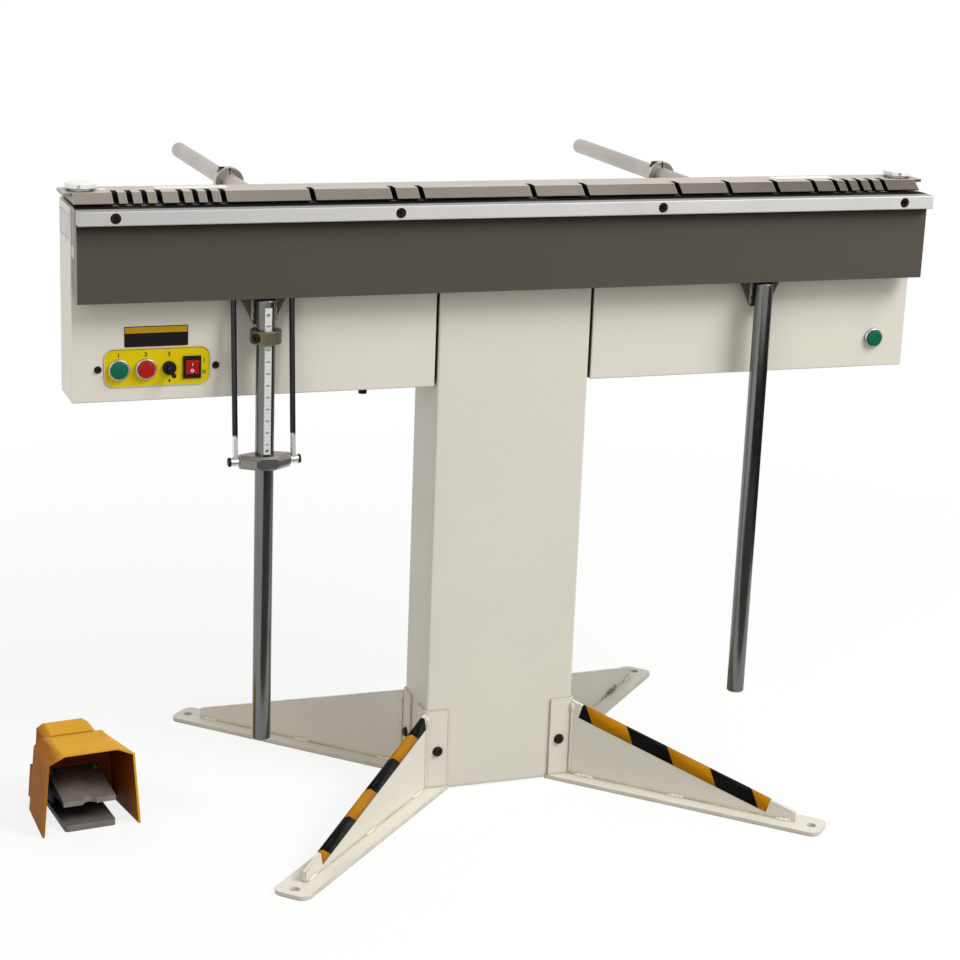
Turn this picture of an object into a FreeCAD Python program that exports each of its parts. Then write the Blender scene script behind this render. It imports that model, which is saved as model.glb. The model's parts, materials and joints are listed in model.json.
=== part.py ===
import FreeCAD, Part
import Sketcher
import os
import re

# Magnetic sheet metal brake on a pedestal.
# Millimetres. X runs along the bed, Y to the back, Z up.
# The origin is on the floor, at the centre of the four floor bolts.

# Driving sizes: alias, value and what it is
SIZES = (
    ("bed_length", 1300.0, "length of bed, beam and extension bar"),
    ("bed_depth", 101.0, "front to back over the poles"),
    ("bed_height", 70.0, "magnet body, top to bottom"),
    ("bed_top", 916.0, "working surface above the floor"),
    ("fold_y", -70.0, "fold line, in front of the column centre"),
    ("yoke_thick", 16.0, "bottom plate of the magnet"),
    ("front_pole_thick", 28.0, "front pole"),
    ("rear_pole_thick", 24.0, "rear pole"),
    ("coil_slot", 12.0, "slot between a pole and the core"),
    ("coil_gap", 0.5, "air round the coil in its slot"),
    ("coil_end_room", 35.0, "from the end of the core to the end of the bed"),
    ("slot_cover_thick", 8.0, "strip that closes the coil slots"),
    ("hinge_inset", 90.0, "outer hinges from the ends of the bed"),
    ("sector_radius", 17.0, "hinge sector"),
    ("sector_length", 60.0, "hinge sector along the fold line"),
    ("tongue_outer", 13.0, "outer radius of the arc tongue on a sector"),
    ("tongue_inner", 9.0, "inner radius of the arc tongue on a sector"),
    ("tongue_length", 4.0, "tongue beyond each end of a sector"),
    ("running_gap", 0.08, "radial clearance of turning and sliding fits"),
    ("face_gap", 0.3, "clearance between faces that part in use"),
    ("beam_height", 129.0, "bending beam"),
    ("beam_thick", 20.0, "bending beam"),
    ("bar_height", 20.0, "extension bar"),
    ("bar_thick", 18.0, "extension bar"),
    ("bar_chamfer", 1.2, "edges of the extension bar"),
    ("bar_screw_inset", 50.0, "outer extension bar screws from the ends of the bar"),
    ("bar_bore", 7.5, "counterbore radius"),
    ("bar_bore_deep", 9.0, "counterbore depth"),
    ("bar_screw", 4.0, "screw shank radius"),
    ("bar_screw_head", 6.5, "screw head radius"),
    ("bar_screw_long", 26.0, "screw shank length"),
    ("hex_socket", 3.0, "hexagon socket of the cap screws, centre to corner"),
    ("screw_gap", 0.2, "clearance hole round a shank"),
    ("handle_x", 386.0, "handles from the middle"),
    ("handle_radius", 13.45, "handle tube"),
    ("handle_wall", 2.6, "handle tube"),
    ("handle_length", 657.0, "handle tube below the beam"),
    ("handle_gap", 1.5, "between the beam and the upper end of a handle tube"),
    ("plate_half_width", 33.5, "handle plate at the beam"),
    ("plate_lap", 22.0, "handle plate behind the beam"),
    ("plate_drop", 40.0, "handle plate below the beam"),
    ("plate_toe", 14.0, "handle plate at its lower tip, half width"),
    ("plate_thick", 6.0, "handle plate"),
    ("scale_drop", 12.0, "upper end of the angle scale below the beam"),
    ("scale_long", 210.0, "angle scale"),
    ("scale_wide", 10.0, "angle scale"),
    ("scale_thick", 1.4, "angle scale"),
    ("slider_drop", 234.3, "middle of the slider below the beam"),
    ("slider_tall", 20.0, "slider"),
    ("slider_half", 36.5, "slider, half its width"),
    ("slider_front", 22.5, "slider in front of the tube axis"),
    ("slider_back", 17.0, "slider behind the tube axis"),
    ("slider_land", 17.0, "flat middle of the slider, half width"),
    ("slider_tip", 9.0, "end of the slider, half depth"),
    ("slider_bevel", 2.5, "bevel along the slider's front and rear edges"),
    ("slider_facet", 6.0, "bevels that make the slider's slanted ends taper"),
    ("stop_drop", 54.0, "middle of the stop collar below the beam"),
    ("stop_radius", 22.0, "stop collar"),
    ("stop_wide", 19.0, "stop collar"),
    ("stop_screw", 7.0, "head of the stop collar screw, radius"),
    ("stop_screw_tall", 5.0, "head of the stop collar screw"),
    ("stop_screw_seat", 3.5, "seat of the stop collar screw below the rim"),
    ("gauge_rod", 4.0, "gauge rod radius"),
    ("gauge_rod_x", 42.0, "gauge rods either side of the handle"),
    ("gauge_eye", 7.0, "eye of a gauge rod, radius"),
    ("gauge_pin", 3.0, "pivot pin radius"),
    ("gauge_pivot_y", 9.0, "upper pivot behind the fold line"),
    ("gauge_pivot_z", 82.0, "upper pivot below the fold line"),
    ("sleeve_length", 11.0, "sleeve at the foot of a gauge rod"),
    ("rod_screw", 6.6, "screw head at the foot of a gauge rod, radius"),
    ("rod_screw_tall", 4.0, "screw head at the foot of a gauge rod"),
    ("blade_tall", 34.0, "flattened foot of a gauge rod"),
    ("blade_wide", 10.0, "flattened foot of a gauge rod"),
    ("blade_thick", 5.0, "flattened foot of a gauge rod"),
    ("rod_relief", 9.0, "notch in the yoke that clears a raised gauge rod"),
    ("clamp_short", 2.0, "clamping bar shorter than the bed at each end"),
    ("clamp_lift", 2.0, "rest height of the clamping bar over the bed"),
    ("clamp_tall", 14.5, "clamping bar"),
    ("clamp_nose", 0.8, "upright face of the nose"),
    ("clamp_setback", 4.0, "nose behind the fold line"),
    ("clamp_bevel", 16.5, "bevel, front to back"),
    ("clamp_top", 52.0, "flat top, front to back"),
    ("clamp_heel", 25.0, "sloped rear, front to back"),
    ("clamp_heel_drop", 8.0, "sloped rear, how far it falls"),
    ("finger_lip", 12.0, "lip beyond each end of the clamping bar"),
    ("finger_lip_thick", 4.5, "lip"),
    ("slot_wide", 8.0, "tray slots"),
    ("slot_deep", 35.0, "tray slots from the nose"),
    ("knob_inset", 18.0, "adjuster knobs from the ends of the bed"),
    ("knob_y", 47.5, "adjuster knobs behind the fold line"),
    ("knob_radius", 21.0, "adjuster knob"),
    ("knob_tall", 8.0, "adjuster knob"),
    ("knob_gap", 2.5, "under the adjuster knob"),
    ("knob_hub", 15.0, "hub of the knob, radius"),
    ("knob_chamfer", 1.5, "knob rim"),
    ("tommy_hole", 2.6, "radial hole in the knob rim"),
    ("ball_radius", 5.0, "locating ball"),
    ("ball_seat", 3.0, "seat hole of a locating ball"),
    ("backstop_x", 358.0, "backstop rods from the middle"),
    ("backstop_drop", 18.0, "backstop rods below the bed surface"),
    ("backstop_radius", 12.5, "backstop rods"),
    ("backstop_end", 600.0, "rear end of the backstop rods"),
    ("backstop_spigot", 8.0, "spigot radius in the rear pole"),
    ("backstop_spigot_long", 18.0, "spigot length"),
    ("backstop_collar", 22.5, "backstop collar radius"),
    ("backstop_collar_wide", 15.0, "backstop collar"),
    ("backstop_collar_y", 255.0, "middle of the collar"),
    ("collar_slit", 3.0, "slit of the backstop collar"),
    ("collar_screw", 5.0, "screw head of the backstop collar, radius"),
    ("collar_screw_tall", 8.0, "screw head of the backstop collar"),
    ("column_width", 237.6, "column, left to right"),
    ("column_depth", 102.8, "column, front to back"),
    ("column_wall", 3.0, "column sheet"),
    ("column_low", 2.0, "bottom edge of the column"),
    ("column_cap", 8.0, "top plate of the column"),
    ("window_half", 85.0, "rear window of the column, half width"),
    ("window_low", 180.0, "rear window, lower edge"),
    ("window_high", 600.0, "rear window, upper edge"),
    ("window_lap", 12.0, "rear panel over the edge of the window"),
    ("panel_sheet", 1.5, "rear panel"),
    ("foot_reach", 398.7, "floor bolt from the corner of the column"),
    ("foot_tail", 18.0, "foot beyond the floor bolt"),
    ("foot_wide", 56.0, "foot strip"),
    ("foot_corner", 15.0, "rounded corners of the strip"),
    ("foot_heel", 0.6, "foot strip and upright plate from the corner of the column"),
    ("foot_thick", 6.0, "foot strip"),
    ("foot_rib", 6.0, "upright plate of the foot"),
    ("foot_rib_tall", 128.0, "upright plate at the column"),
    ("foot_rib_toe", 21.5, "upright plate at its outer end"),
    ("foot_rib_back", 25.0, "outer end of the upright plate from the bolt"),
    ("foot_flange", 38.0, "corner angle, leg"),
    ("foot_flange_thick", 3.5, "corner angle"),
    ("foot_flange_low", 3.0, "corner angle, lower edge"),
    ("foot_flange_high", 132.0, "corner angle, upper edge"),
    ("floor_bolt", 7.0, "floor bolt hole radius"),
    ("foot_bolt", 5.0, "column bolt radius"),
    ("foot_bolt_head", 8.5, "column bolt head radius"),
    ("foot_bolt_head_tall", 5.0, "column bolt head"),
    ("foot_bolt_inset", 18.8, "column bolt from the corner of the column"),
    ("foot_bolt_z", 65.0, "column bolt above the floor"),
    ("foot_nut", 9.2, "nut, centre to corner"),
    ("foot_nut_tall", 6.0, "nut"),
    ("cover_inner", 123.0, "inner end of a cover from the middle"),
    ("cover_front", -51.0, "front face of the covers"),
    ("cover_depth", 82.0, "covers, front to back"),
    ("cover_tall", 206.0, "covers, bottom to bed"),
    ("cover_sheet", 2.0, "cover sheet"),
    ("cover_cap_drop", 2.0, "end sheet beside the bed, below the working surface"),
    ("cover_lip", 14.0, "inward flange under the bed"),
    ("panel_inset", 117.6, "middle of the control panel from the end of the bed"),
    ("panel_rise", 2.0, "middle of the control panel above the row of switches"),
    ("panel_long", 150.0, "control panel"),
    ("panel_tall", 55.0, "control panel"),
    ("panel_corner", 17.0, "control panel corners"),
    ("panel_thick", 1.5, "control panel"),
    ("start_offset", -54.4, "start button from the middle of the panel"),
    ("stop_offset", -16.4, "stop button from the middle of the panel"),
    ("toggle_offset", 16.4, "toggle switch from the middle of the panel"),
    ("rocker_offset", 48.7, "rocker switch from the middle of the panel"),
    ("button_rise", 46.0, "row of switches above the bottom of the cover"),
    ("right_start_inset", 52.0, "second start button from the end of the bed"),
    ("panel_screw_drop", 0.6, "panel screws above the row of switches"),
    ("bezel_radius", 15.0, "button bezel"),
    ("bezel_deep", 5.5, "button bezel"),
    ("cap_radius", 12.0, "button cap"),
    ("cap_proud", 3.0, "button cap beyond its bezel"),
    ("cap_tall", 4.0, "button cap"),
    ("barrel_radius", 11.0, "threaded barrel behind a bezel"),
    ("barrel_bore", 9.0, "barrel bore"),
    ("barrel_long", 17.5, "barrel"),
    ("block_half", 14.0, "contact block, half width"),
    ("block_deep", 34.0, "contact block"),
    ("toggle_radius", 9.8, "toggle base"),
    ("toggle_deep", 4.5, "toggle base"),
    ("toggle_lever", 20.0, "toggle lever"),
    ("rocker_frame_wide", 25.4, "rocker frame"),
    ("rocker_frame_tall", 32.0, "rocker frame"),
    ("rocker_frame_deep", 2.5, "rocker frame"),
    ("rocker_half", 9.4, "rocker, half width"),
    ("rocker_radius", 10.4, "rocker, swing radius"),
    ("panel_screw_x", 83.1, "panel screws either side of the panel"),
    ("panel_screw_head", 5.5, "panel screw head"),
    ("gland_inset", 90.7, "cable gland from the inner end of the left cover"),
    ("gland_back", 61.0, "cable gland behind the cover front"),
    ("gland_radius", 7.5, "cable gland"),
    ("gland_long", 20.0, "cable gland below the cover"),
    ("pedal_x", -631.5, "foot switch, middle of its front edge"),
    ("pedal_y", -60.0, "foot switch, front edge"),
    ("pedal_turn", 6.0, "foot switch, turned on the floor, degrees"),
    ("guard_wall", 3.0, "guard wall"),
    ("guard_floor_half", 73.8, "guard at the floor in front, half width"),
    ("guard_brow_half", 65.0, "guard at the upper corner in front, half width"),
    ("guard_crown_half", 41.0, "guard crown in front, half width"),
    ("guard_brow", 112.0, "upper corner in front"),
    ("guard_tall", 124.0, "guard crown in front"),
    ("guard_hood", 105.0, "hood, front to back"),
    ("guard_long", 155.0, "guard, front to back"),
    ("guard_rear_half", 65.6, "hood at the floor at its rear, half width"),
    ("guard_rear_brow_half", 57.0, "hood upper corner at its rear, half width"),
    ("guard_rear_brow", 100.0, "hood upper corner at its rear"),
    ("guard_rear_crown_half", 46.0, "hood crown at its rear, half width"),
    ("guard_rear_tall", 111.0, "guard crown at its rear"),
    ("tail_step", 50.0, "height of the step beside the tail"),
    ("brow_panel", 60.5, "panel across the rear of the hood, lower edge"),
    ("tail_floor_half", 53.5, "tail at the floor, half width"),
    ("tail_half", 39.5, "tail above the step, half width"),
    ("tail_brow", 106.5, "tail, upper corner"),
    ("tail_crown_half", 30.0, "tail crown, half width"),
    ("base_front", 6.5, "foot switch base behind the guard front"),
    ("base_half", 38.0, "foot switch base, half width"),
    ("base_thick", 9.0, "foot switch base"),
    ("base_block_y", 112.0, "rear block of the base"),
    ("base_block_half", 30.0, "rear block, half width"),
    ("base_block_tall", 62.0, "rear block"),
    ("pivot_y", 104.0, "pedal pivot behind the guard front"),
    ("pivot_z", 50.0, "pedal pivot"),
    ("pivot_pin", 3.0, "pedal pin radius"),
    ("ear_thick", 5.0, "ears that carry the pedal pin"),
    ("ear_inner", 31.0, "inner face of an ear from the middle"),
    ("pedal_front", 10.0, "pedal front edge"),
    ("pedal_half", 39.0, "pedal, half width"),
    ("pedal_low", 38.0, "pedal front edge, underside"),
    ("pedal_thick", 7.0, "pedal"),
    ("pedal_hub", 8.0, "pedal hub radius"),
    ("pedal_hub_half", 30.0, "pedal hub, half width"),
    ("pedal_notch", 11.0, "notch in the pedal front edge"),
    ("snap_wide", 28.0, "switch block of the foot switch"),
    ("snap_deep", 24.0, "switch block of the foot switch"),
    ("snap_tall", 16.0, "switch block of the foot switch"),
    ("tail_gland", 6.0, "cable gland of the foot switch, radius"),
    ("tail_gland_z", 25.0, "cable gland of the foot switch above the floor"),
    ("transformer_inset", 126.0, "transformer from the inner end of the left cover"),
    ("transformer_wide", 96.0, "transformer core"),
    ("transformer_deep", 62.0, "transformer core"),
    ("transformer_tall", 80.0, "transformer core"),
    ("transformer_coil_proud", 8.0, "winding in front of its core"),
    ("rectifier_gap", 25.0, "between transformer and rectifier"),
    ("rectifier_rise", 52.0, "rectifier above the bottom of the cover"),
    ("rectifier_wide", 60.0, "rectifier"),
    ("rectifier_deep", 30.0, "rectifier"),
    ("rectifier_tall", 50.0, "rectifier"),
    ("relay_gap", 12.0, "between rectifier and relay"),
    ("relay_wide", 45.0, "relay"),
    ("relay_deep", 50.0, "relay"),
    ("relay_tall", 60.0, "relay"),
    ("bed_bolt", 6.0, "bed bolt shank radius"),
    ("bed_bolt_x", 80.0, "bed bolts from the middle"),
    ("bed_bolt_y", 24.0, "bed bolts from the middle of their rows"),
    ("bed_bolt_deep", 10.0, "bed bolt in the yoke"),
    ("plate_screw", 4.0, "handle plate screw radius"),
    ("plate_screw_x", 21.0, "handle plate screws either side of the tube"),
)

# Tray slots of the clamping bar, from its middle to each slot, as shares of half its length
SLOT_SHARES = (
    -0.911265, -0.881173, -0.849537, -0.817901, -0.771605, -0.740741, -0.710648, -0.680556,
    -0.484568, -0.300926, -0.237654, 0.024691, 0.151235, 0.379630, 0.507716, 0.629630,
    0.728395, 0.785494, 0.817130, 0.848765, 0.880401, 0.912037,
)

# Angle between the legs of a foot and the sides of the column
DIAGONAL = 45.0
ROOT_HALF = 0.70710678

doc = FreeCAD.newDocument("magnetic_brake")
sheet = doc.addObject("Spreadsheet::Sheet", "dims")
nodes = {}


class Size:
    """A size that holds its value and the sheet expression that gives it."""

    def __init__(self, text, value):
        self.text = text
        self.value = value

    def __add__(self, other):
        other = as_size(other)
        return Size("(%s + %s)" % (self.text, other.text), self.value + other.value)

    def __radd__(self, other):
        return as_size(other) + self

    def __sub__(self, other):
        other = as_size(other)
        return Size("(%s - %s)" % (self.text, other.text), self.value - other.value)

    def __rsub__(self, other):
        return as_size(other) - self

    def __mul__(self, other):
        other = as_size(other)
        return Size("(%s * %s)" % (self.text, other.text), self.value * other.value)

    def __rmul__(self, other):
        return as_size(other) * self

    def __truediv__(self, other):
        other = as_size(other)
        return Size("(%s / %s)" % (self.text, other.text), self.value / other.value)

    def __neg__(self):
        return Size("(0 - %s)" % self.text, -self.value)


def as_size(thing):
    """Give a plain number the form of a size."""
    if isinstance(thing, Size):
        return thing
    return Size("(%s)" % repr(float(thing)), float(thing))


class Sizes:
    """The driving sizes, each by its own name."""


d = Sizes()


def fill_sheet():
    """Write the driving sizes to the sheet and name each cell."""
    for row, (alias, value, words) in enumerate(SIZES, start=1):
        sheet.set("A%d" % row, words)
        sheet.set("B%d" % row, repr(value))
        sheet.setAlias("B%d" % row, alias)
        setattr(d, alias, Size("dims." + alias, value))
    doc.recompute()


def bind(thing, prop, size):
    """Set a property, and tie it to the sheet where the size comes from there."""
    size = as_size(size)
    if re.search("dims", size.text):
        thing.setExpression(prop, size.text)


def place(thing, at, turn=None):
    """Put a feature at a point, turned by a rotation."""
    at = [as_size(value) for value in at]
    turn = turn or FreeCAD.Rotation()
    thing.Placement = FreeCAD.Placement(FreeCAD.Vector(*[value.value for value in at]), turn)
    for letter, value in zip("xyz", at):
        bind(thing, "Placement.Base." + letter, value)
    return thing


TURN = {
    "x": FreeCAD.Rotation(FreeCAD.Vector(0, 1, 0), 90),
    "y": FreeCAD.Rotation(FreeCAD.Vector(1, 0, 0), -90),
    "z": FreeCAD.Rotation(),
}
PLANE = {
    "xy": FreeCAD.Rotation(),
    "xz": FreeCAD.Rotation(FreeCAD.Vector(1, 0, 0), 90),
    "yz": FreeCAD.Rotation(FreeCAD.Vector(1, 1, 1), 120),
}


def box(low, span):
    """A block from its lowest corner."""
    made = doc.addObject("Part::Box", "block")
    for prop, size in zip(("Length", "Width", "Height"), span):
        setattr(made, prop, as_size(size).value)
        bind(made, prop, size)
    return place(made, low)


def rod(axis, start, length, radius):
    """A cylinder that grows from its start along +X, +Y or +Z."""
    made = doc.addObject("Part::Cylinder", "rod")
    made.Radius = as_size(radius).value
    made.Height = as_size(length).value
    bind(made, "Radius", radius)
    bind(made, "Height", length)
    return place(made, start, TURN[axis])


def cone(axis, start, length, near, far):
    """A cone that grows from its start along +X, +Y or +Z."""
    made = doc.addObject("Part::Cone", "cone")
    made.Radius1 = as_size(near).value
    made.Radius2 = as_size(far).value
    made.Height = as_size(length).value
    bind(made, "Radius1", near)
    bind(made, "Radius2", far)
    bind(made, "Height", length)
    return place(made, start, TURN[axis])


def ball(centre, radius):
    """A sphere."""
    made = doc.addObject("Part::Sphere", "ball")
    made.Radius = as_size(radius).value
    bind(made, "Radius", radius)
    return place(made, centre)


def hexagon(axis, start, length, corner):
    """A six-sided bar."""
    made = doc.addObject("Part::Prism", "hexagon")
    made.Polygon = 6
    made.Circumradius = as_size(corner).value
    made.Height = as_size(length).value
    bind(made, "Circumradius", corner)
    bind(made, "Height", length)
    return place(made, start, TURN[axis])


def fuse(*shapes):
    """Join solids of one piece."""
    made = doc.addObject("Part::MultiFuse", "joined")
    made.Shapes = list(shapes)
    made.Refine = True
    return made


def cut(base, *tools):
    """Take tools out of a solid."""
    made = doc.addObject("Part::Cut", "cut")
    made.Base = base
    made.Tool = tools[0] if len(tools) == 1 else fuse_tools(tools)
    return made


def fuse_tools(tools):
    """Gather cutting tools that may stand apart."""
    made = doc.addObject("Part::Compound", "tools")
    made.Links = list(tools)
    return made


def common(first, second):
    """Keep what two solids share."""
    made = doc.addObject("Part::Common", "shared")
    made.Base = first
    made.Tool = second
    return made


def group(*shapes):
    """Like pieces that share one node and stay separate solids."""
    made = doc.addObject("Part::Compound", "group")
    made.Links = list(shapes)
    return made


def outline(sketch, points):
    """Draw a closed outline whose corners are tied to the sheet."""
    corners = [(as_size(a), as_size(b)) for a, b in points]
    count = len(corners)
    for index in range(count):
        near = corners[index]
        far = corners[(index + 1) % count]
        start = FreeCAD.Vector(near[0].value, near[1].value, 0)
        end = FreeCAD.Vector(far[0].value, far[1].value, 0)
        sketch.addGeometry(Part.LineSegment(start, end), False)
    for index in range(count):
        sketch.addConstraint(Sketcher.Constraint("Coincident", index, 2, (index + 1) % count, 1))
    for index, corner in enumerate(corners):
        for kind, size in zip(("DistanceX", "DistanceY"), corner):
            rule = Sketcher.Constraint(kind, -1, 1, index, 1, size.value)
            number = sketch.addConstraint(rule)
            bind(sketch, "Constraints[%d]" % number, size)
    return sketch


def prism(plane, points, start, length):
    """An outline in a plane, drawn out along that plane's own axis."""
    sketch = doc.addObject("Sketcher::SketchObject", "outline")
    outline(sketch, points)
    start = as_size(start)
    base = {"xy": (0, 0, start), "yz": (start, 0, 0), "xz": (0, start + length, 0)}[plane]
    place(sketch, base, PLANE[plane])
    made = doc.addObject("Part::Extrusion", "drawn")
    made.Base = sketch
    made.DirMode = "Normal"
    made.Solid = True
    made.LengthFwd = as_size(length).value
    bind(made, "LengthFwd", length)
    return made


def section(points, y):
    """An upright outline across the foot switch, for a loft."""
    sketch = doc.addObject("Sketcher::SketchObject", "section")
    outline(sketch, points)
    return place(sketch, (0, y, 0), PLANE["xz"])


def loft(near, far):
    """A straight-sided solid between two outlines."""
    made = doc.addObject("Part::Loft", "loft")
    made.Sections = [near, far]
    made.Solid = True
    made.Ruled = True
    return made


def round_edges(base, test, radius, kind="Part::Fillet"):
    """Fillet or chamfer the edges that pass a test."""
    doc.recompute()
    made = doc.addObject(kind, "eased")
    made.Base = base
    reach = as_size(radius).value
    chosen = []
    for number, edge in enumerate(base.Shape.Edges, start=1):
        if test(edge):
            chosen.append((number, reach, reach))
    made.Edges = chosen
    return made


def along(edge, axis):
    """True for a straight edge that runs along an axis."""
    if edge.Curve.TypeId != "Part::GeomLine":
        return False
    way = edge.Curve.Direction
    return abs(abs({"x": way.x, "y": way.y, "z": way.z}[axis]) - 1.0) < 1e-6


def node(name, thing):
    """Name a finished sub-part."""
    thing.Label = name
    nodes[name] = thing
    return thing


def new_body(name):
    """An empty PartDesign body."""
    return doc.addObject("PartDesign::Body", name)


def body_sketch(body, plane, points, offset=0.0):
    """A sketch on one of the body's own origin planes."""
    role = {"xy": "XY_Plane", "xz": "XZ_Plane", "yz": "YZ_Plane"}[plane]
    sketch = body.newObject("Sketcher::SketchObject", "sketch")
    support = [item for item in body.Origin.OriginFeatures if item.Role == role][0]
    sketch.AttachmentSupport = [(support, "")]
    sketch.MapMode = "FlatFace"
    offset = as_size(offset)
    sketch.AttachmentOffset = FreeCAD.Placement(FreeCAD.Vector(0, 0, offset.value), FreeCAD.Rotation())
    bind(sketch, "AttachmentOffset.Base.z", offset)
    return outline(sketch, points)


def pad(body, sketch, length, middle=False):
    """Draw a sketch out into the body."""
    made = body.newObject("PartDesign::Pad", "pad")
    made.Profile = sketch
    made.Length = as_size(length).value
    made.Midplane = middle
    bind(made, "Length", length)
    return made


def body_fillet(body, feature, test, radius):
    """Round the edges of a body feature that pass a test."""
    doc.recompute()
    names = []
    for number, edge in enumerate(feature.Shape.Edges, start=1):
        if test(edge):
            names.append("Edge%d" % number)
    made = body.newObject("PartDesign::Fillet", "fillet")
    made.Base = (feature, names)
    made.Radius = as_size(radius).value
    bind(made, "Radius", radius)
    return made


def body_chamfer(body, feature, test, width):
    """Bevel the edges of a body feature that pass a test."""
    doc.recompute()
    names = []
    for number, edge in enumerate(feature.Shape.Edges, start=1):
        if test(edge):
            names.append("Edge%d" % number)
    made = body.newObject("PartDesign::Chamfer", "chamfer")
    made.Base = (feature, names)
    made.Size = as_size(width).value
    bind(made, "Size", width)
    return made


def rectangle(left, low, wide, tall):
    """Corners of a rectangle."""
    return ((left, low), (left + wide, low), (left + wide, low + tall), (left, low + tall))


def symmetric(points):
    """Corners of an outline that is the same either side of its middle."""
    other = [(-across, up) for across, up in reversed(points)]
    return tuple(points) + tuple(other)


def cap_screw(axis, head_start, head_long, shank_long, head, shank, socket):
    """A socket cap screw: head first, then its shank, along +Y or +Z."""
    x, y, z = head_start
    step = {"x": (head_long, 0, 0), "y": (0, head_long, 0), "z": (0, 0, head_long)}[axis]
    shank_start = (x + step[0], y + step[1], z + step[2])
    body = fuse(rod(axis, head_start, head_long, head), rod(axis, shank_start, shank_long, shank))
    return cut(body, hexagon(axis, head_start, as_size(head_long) * 0.5, socket))


fill_sheet()

# Places that several pieces share
bed_left = -d.bed_length / 2
bed_low = d.bed_top - d.bed_height
yoke_top = bed_low + d.yoke_thick
pole_tall = d.bed_height - d.yoke_thick
front_pole_back = d.fold_y + d.front_pole_thick
bed_back = d.fold_y + d.bed_depth
rear_pole_front = bed_back - d.rear_pole_thick
core_front = front_pole_back + d.coil_slot
core_thick = rear_pole_front - d.coil_slot - core_front
core_half = d.bed_length / 2 - d.coil_end_room
slot_end = core_half + d.coil_slot
beam_back = d.fold_y - d.face_gap
beam_front = beam_back - d.beam_thick
beam_low = d.bed_top - d.beam_height
bar_front = beam_front - d.bar_thick
handle_y = beam_back - d.handle_radius
tube_front = handle_y - d.handle_radius
scale_front = tube_front - d.scale_thick
clamp_low = d.bed_top + d.clamp_lift
clamp_high = clamp_low + d.clamp_tall
nose_y = d.fold_y + d.clamp_setback
knob_y = d.fold_y + d.knob_y
panel_front = d.cover_front - d.panel_thick
hinge_offset = d.bed_length / 2 - d.hinge_inset
hinge_places = (-hinge_offset, as_size(0), hinge_offset)
handle_low = beam_low - d.handle_length
scale_high = beam_low - d.scale_drop
scale_low = scale_high - d.scale_long
slider_z = beam_low - d.slider_drop
stop_z = beam_low - d.stop_drop
clamp_half = d.bed_length / 2 - d.clamp_short
knob_x = d.bed_length / 2 - d.knob_inset
cover_low = bed_low - d.cover_tall
button_z = cover_low + d.button_rise
panel_x = bed_left + d.panel_inset
panel_z = button_z + d.panel_rise
start_x = panel_x + d.start_offset
stop_x = panel_x + d.stop_offset
toggle_x = panel_x + d.toggle_offset
rocker_x = panel_x + d.rocker_offset
right_start_x = d.bed_length / 2 - d.right_start_inset
gland_x = -d.cover_inner - d.gland_inset
gland_y = d.cover_front + d.gland_back


def bed_bolt_places():
    """Four bolts that hold the magnet on the column."""
    row = (d.fold_y + d.bed_depth - d.column_depth / 2) / 2
    return [(d.bed_bolt_x * a, row + d.bed_bolt_y * b) for a in (-1, 1) for b in (-1, 1)]


def hinge_bore(x, gap):
    """The round space that a hinge sector and its two arc tongues turn in."""
    grown = d.sector_radius + gap
    half = d.sector_length / 2 + gap * 3
    reach = half + d.tongue_length
    axis_at = (x - half, d.fold_y, d.bed_top)
    far_at = (x - reach, d.fold_y, d.bed_top)
    drum = rod("x", axis_at, half * 2, grown)
    ring = rod("x", far_at, reach * 2, d.tongue_outer + gap)
    hub = rod("x", far_at, reach * 2, d.tongue_inner - gap)
    return drum, cut(ring, hub)


def below_bed(x):
    """The half space under the working surface, round one hinge."""
    reach = d.sector_radius * 2
    half = d.sector_length
    return box((x - half, d.fold_y - reach, d.bed_top - reach), (half * 2, reach * 2, reach))


# Magnet body
def make_magnet():
    """Yoke, two poles and a core: the iron of the magnet."""
    plate = box((bed_left, d.fold_y, bed_low), (d.bed_length, d.bed_depth, d.yoke_thick))
    holes = [rod("z", (x, y, bed_low - 1), d.bed_bolt_deep + 2, d.bed_bolt) for x, y in bed_bolt_places()]
    wide = d.gauge_rod * 2 + d.rod_relief / 3
    for side in (-1, 1):
        x = -d.handle_x + d.gauge_rod_x * side - wide / 2
        holes.append(box((x, d.fold_y - 1, bed_low - 1), (wide, d.rod_relief + 1, d.yoke_thick + 2)))
    node("yoke_plate", cut(plate, *holes))
    bolts = []
    for x, y in bed_bolt_places():
        head_tall = d.bed_bolt * 1.8
        start = (x, y, bed_low - d.column_cap - head_tall)
        long = d.column_cap + d.bed_bolt_deep
        bolts.append(cap_screw("z", start, head_tall, long, d.bed_bolt * 1.5, d.bed_bolt, d.bed_bolt * 0.7))
    node("bed_bolts", group(*bolts))
    pole = box((bed_left, d.fold_y, yoke_top), (d.bed_length, d.front_pole_thick, pole_tall))
    bores = []
    for x in hinge_places:
        bores.extend(hinge_bore(x, d.running_gap))
    node("front_pole", cut(pole, *bores))
    rear = box((bed_left, rear_pole_front, yoke_top), (d.bed_length, d.rear_pole_thick, pole_tall))
    sockets = []
    for side in (-1, 1):
        start = (d.backstop_x * side, bed_back - d.backstop_spigot_long - 2, d.bed_top - d.backstop_drop)
        sockets.append(rod("y", start, d.backstop_spigot_long + 4, d.backstop_spigot + d.running_gap))
    node("rear_pole", cut(rear, *sockets))
    node("magnet_core", box((-core_half, core_front, yoke_top), (core_half * 2, core_thick, pole_tall)))


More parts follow.
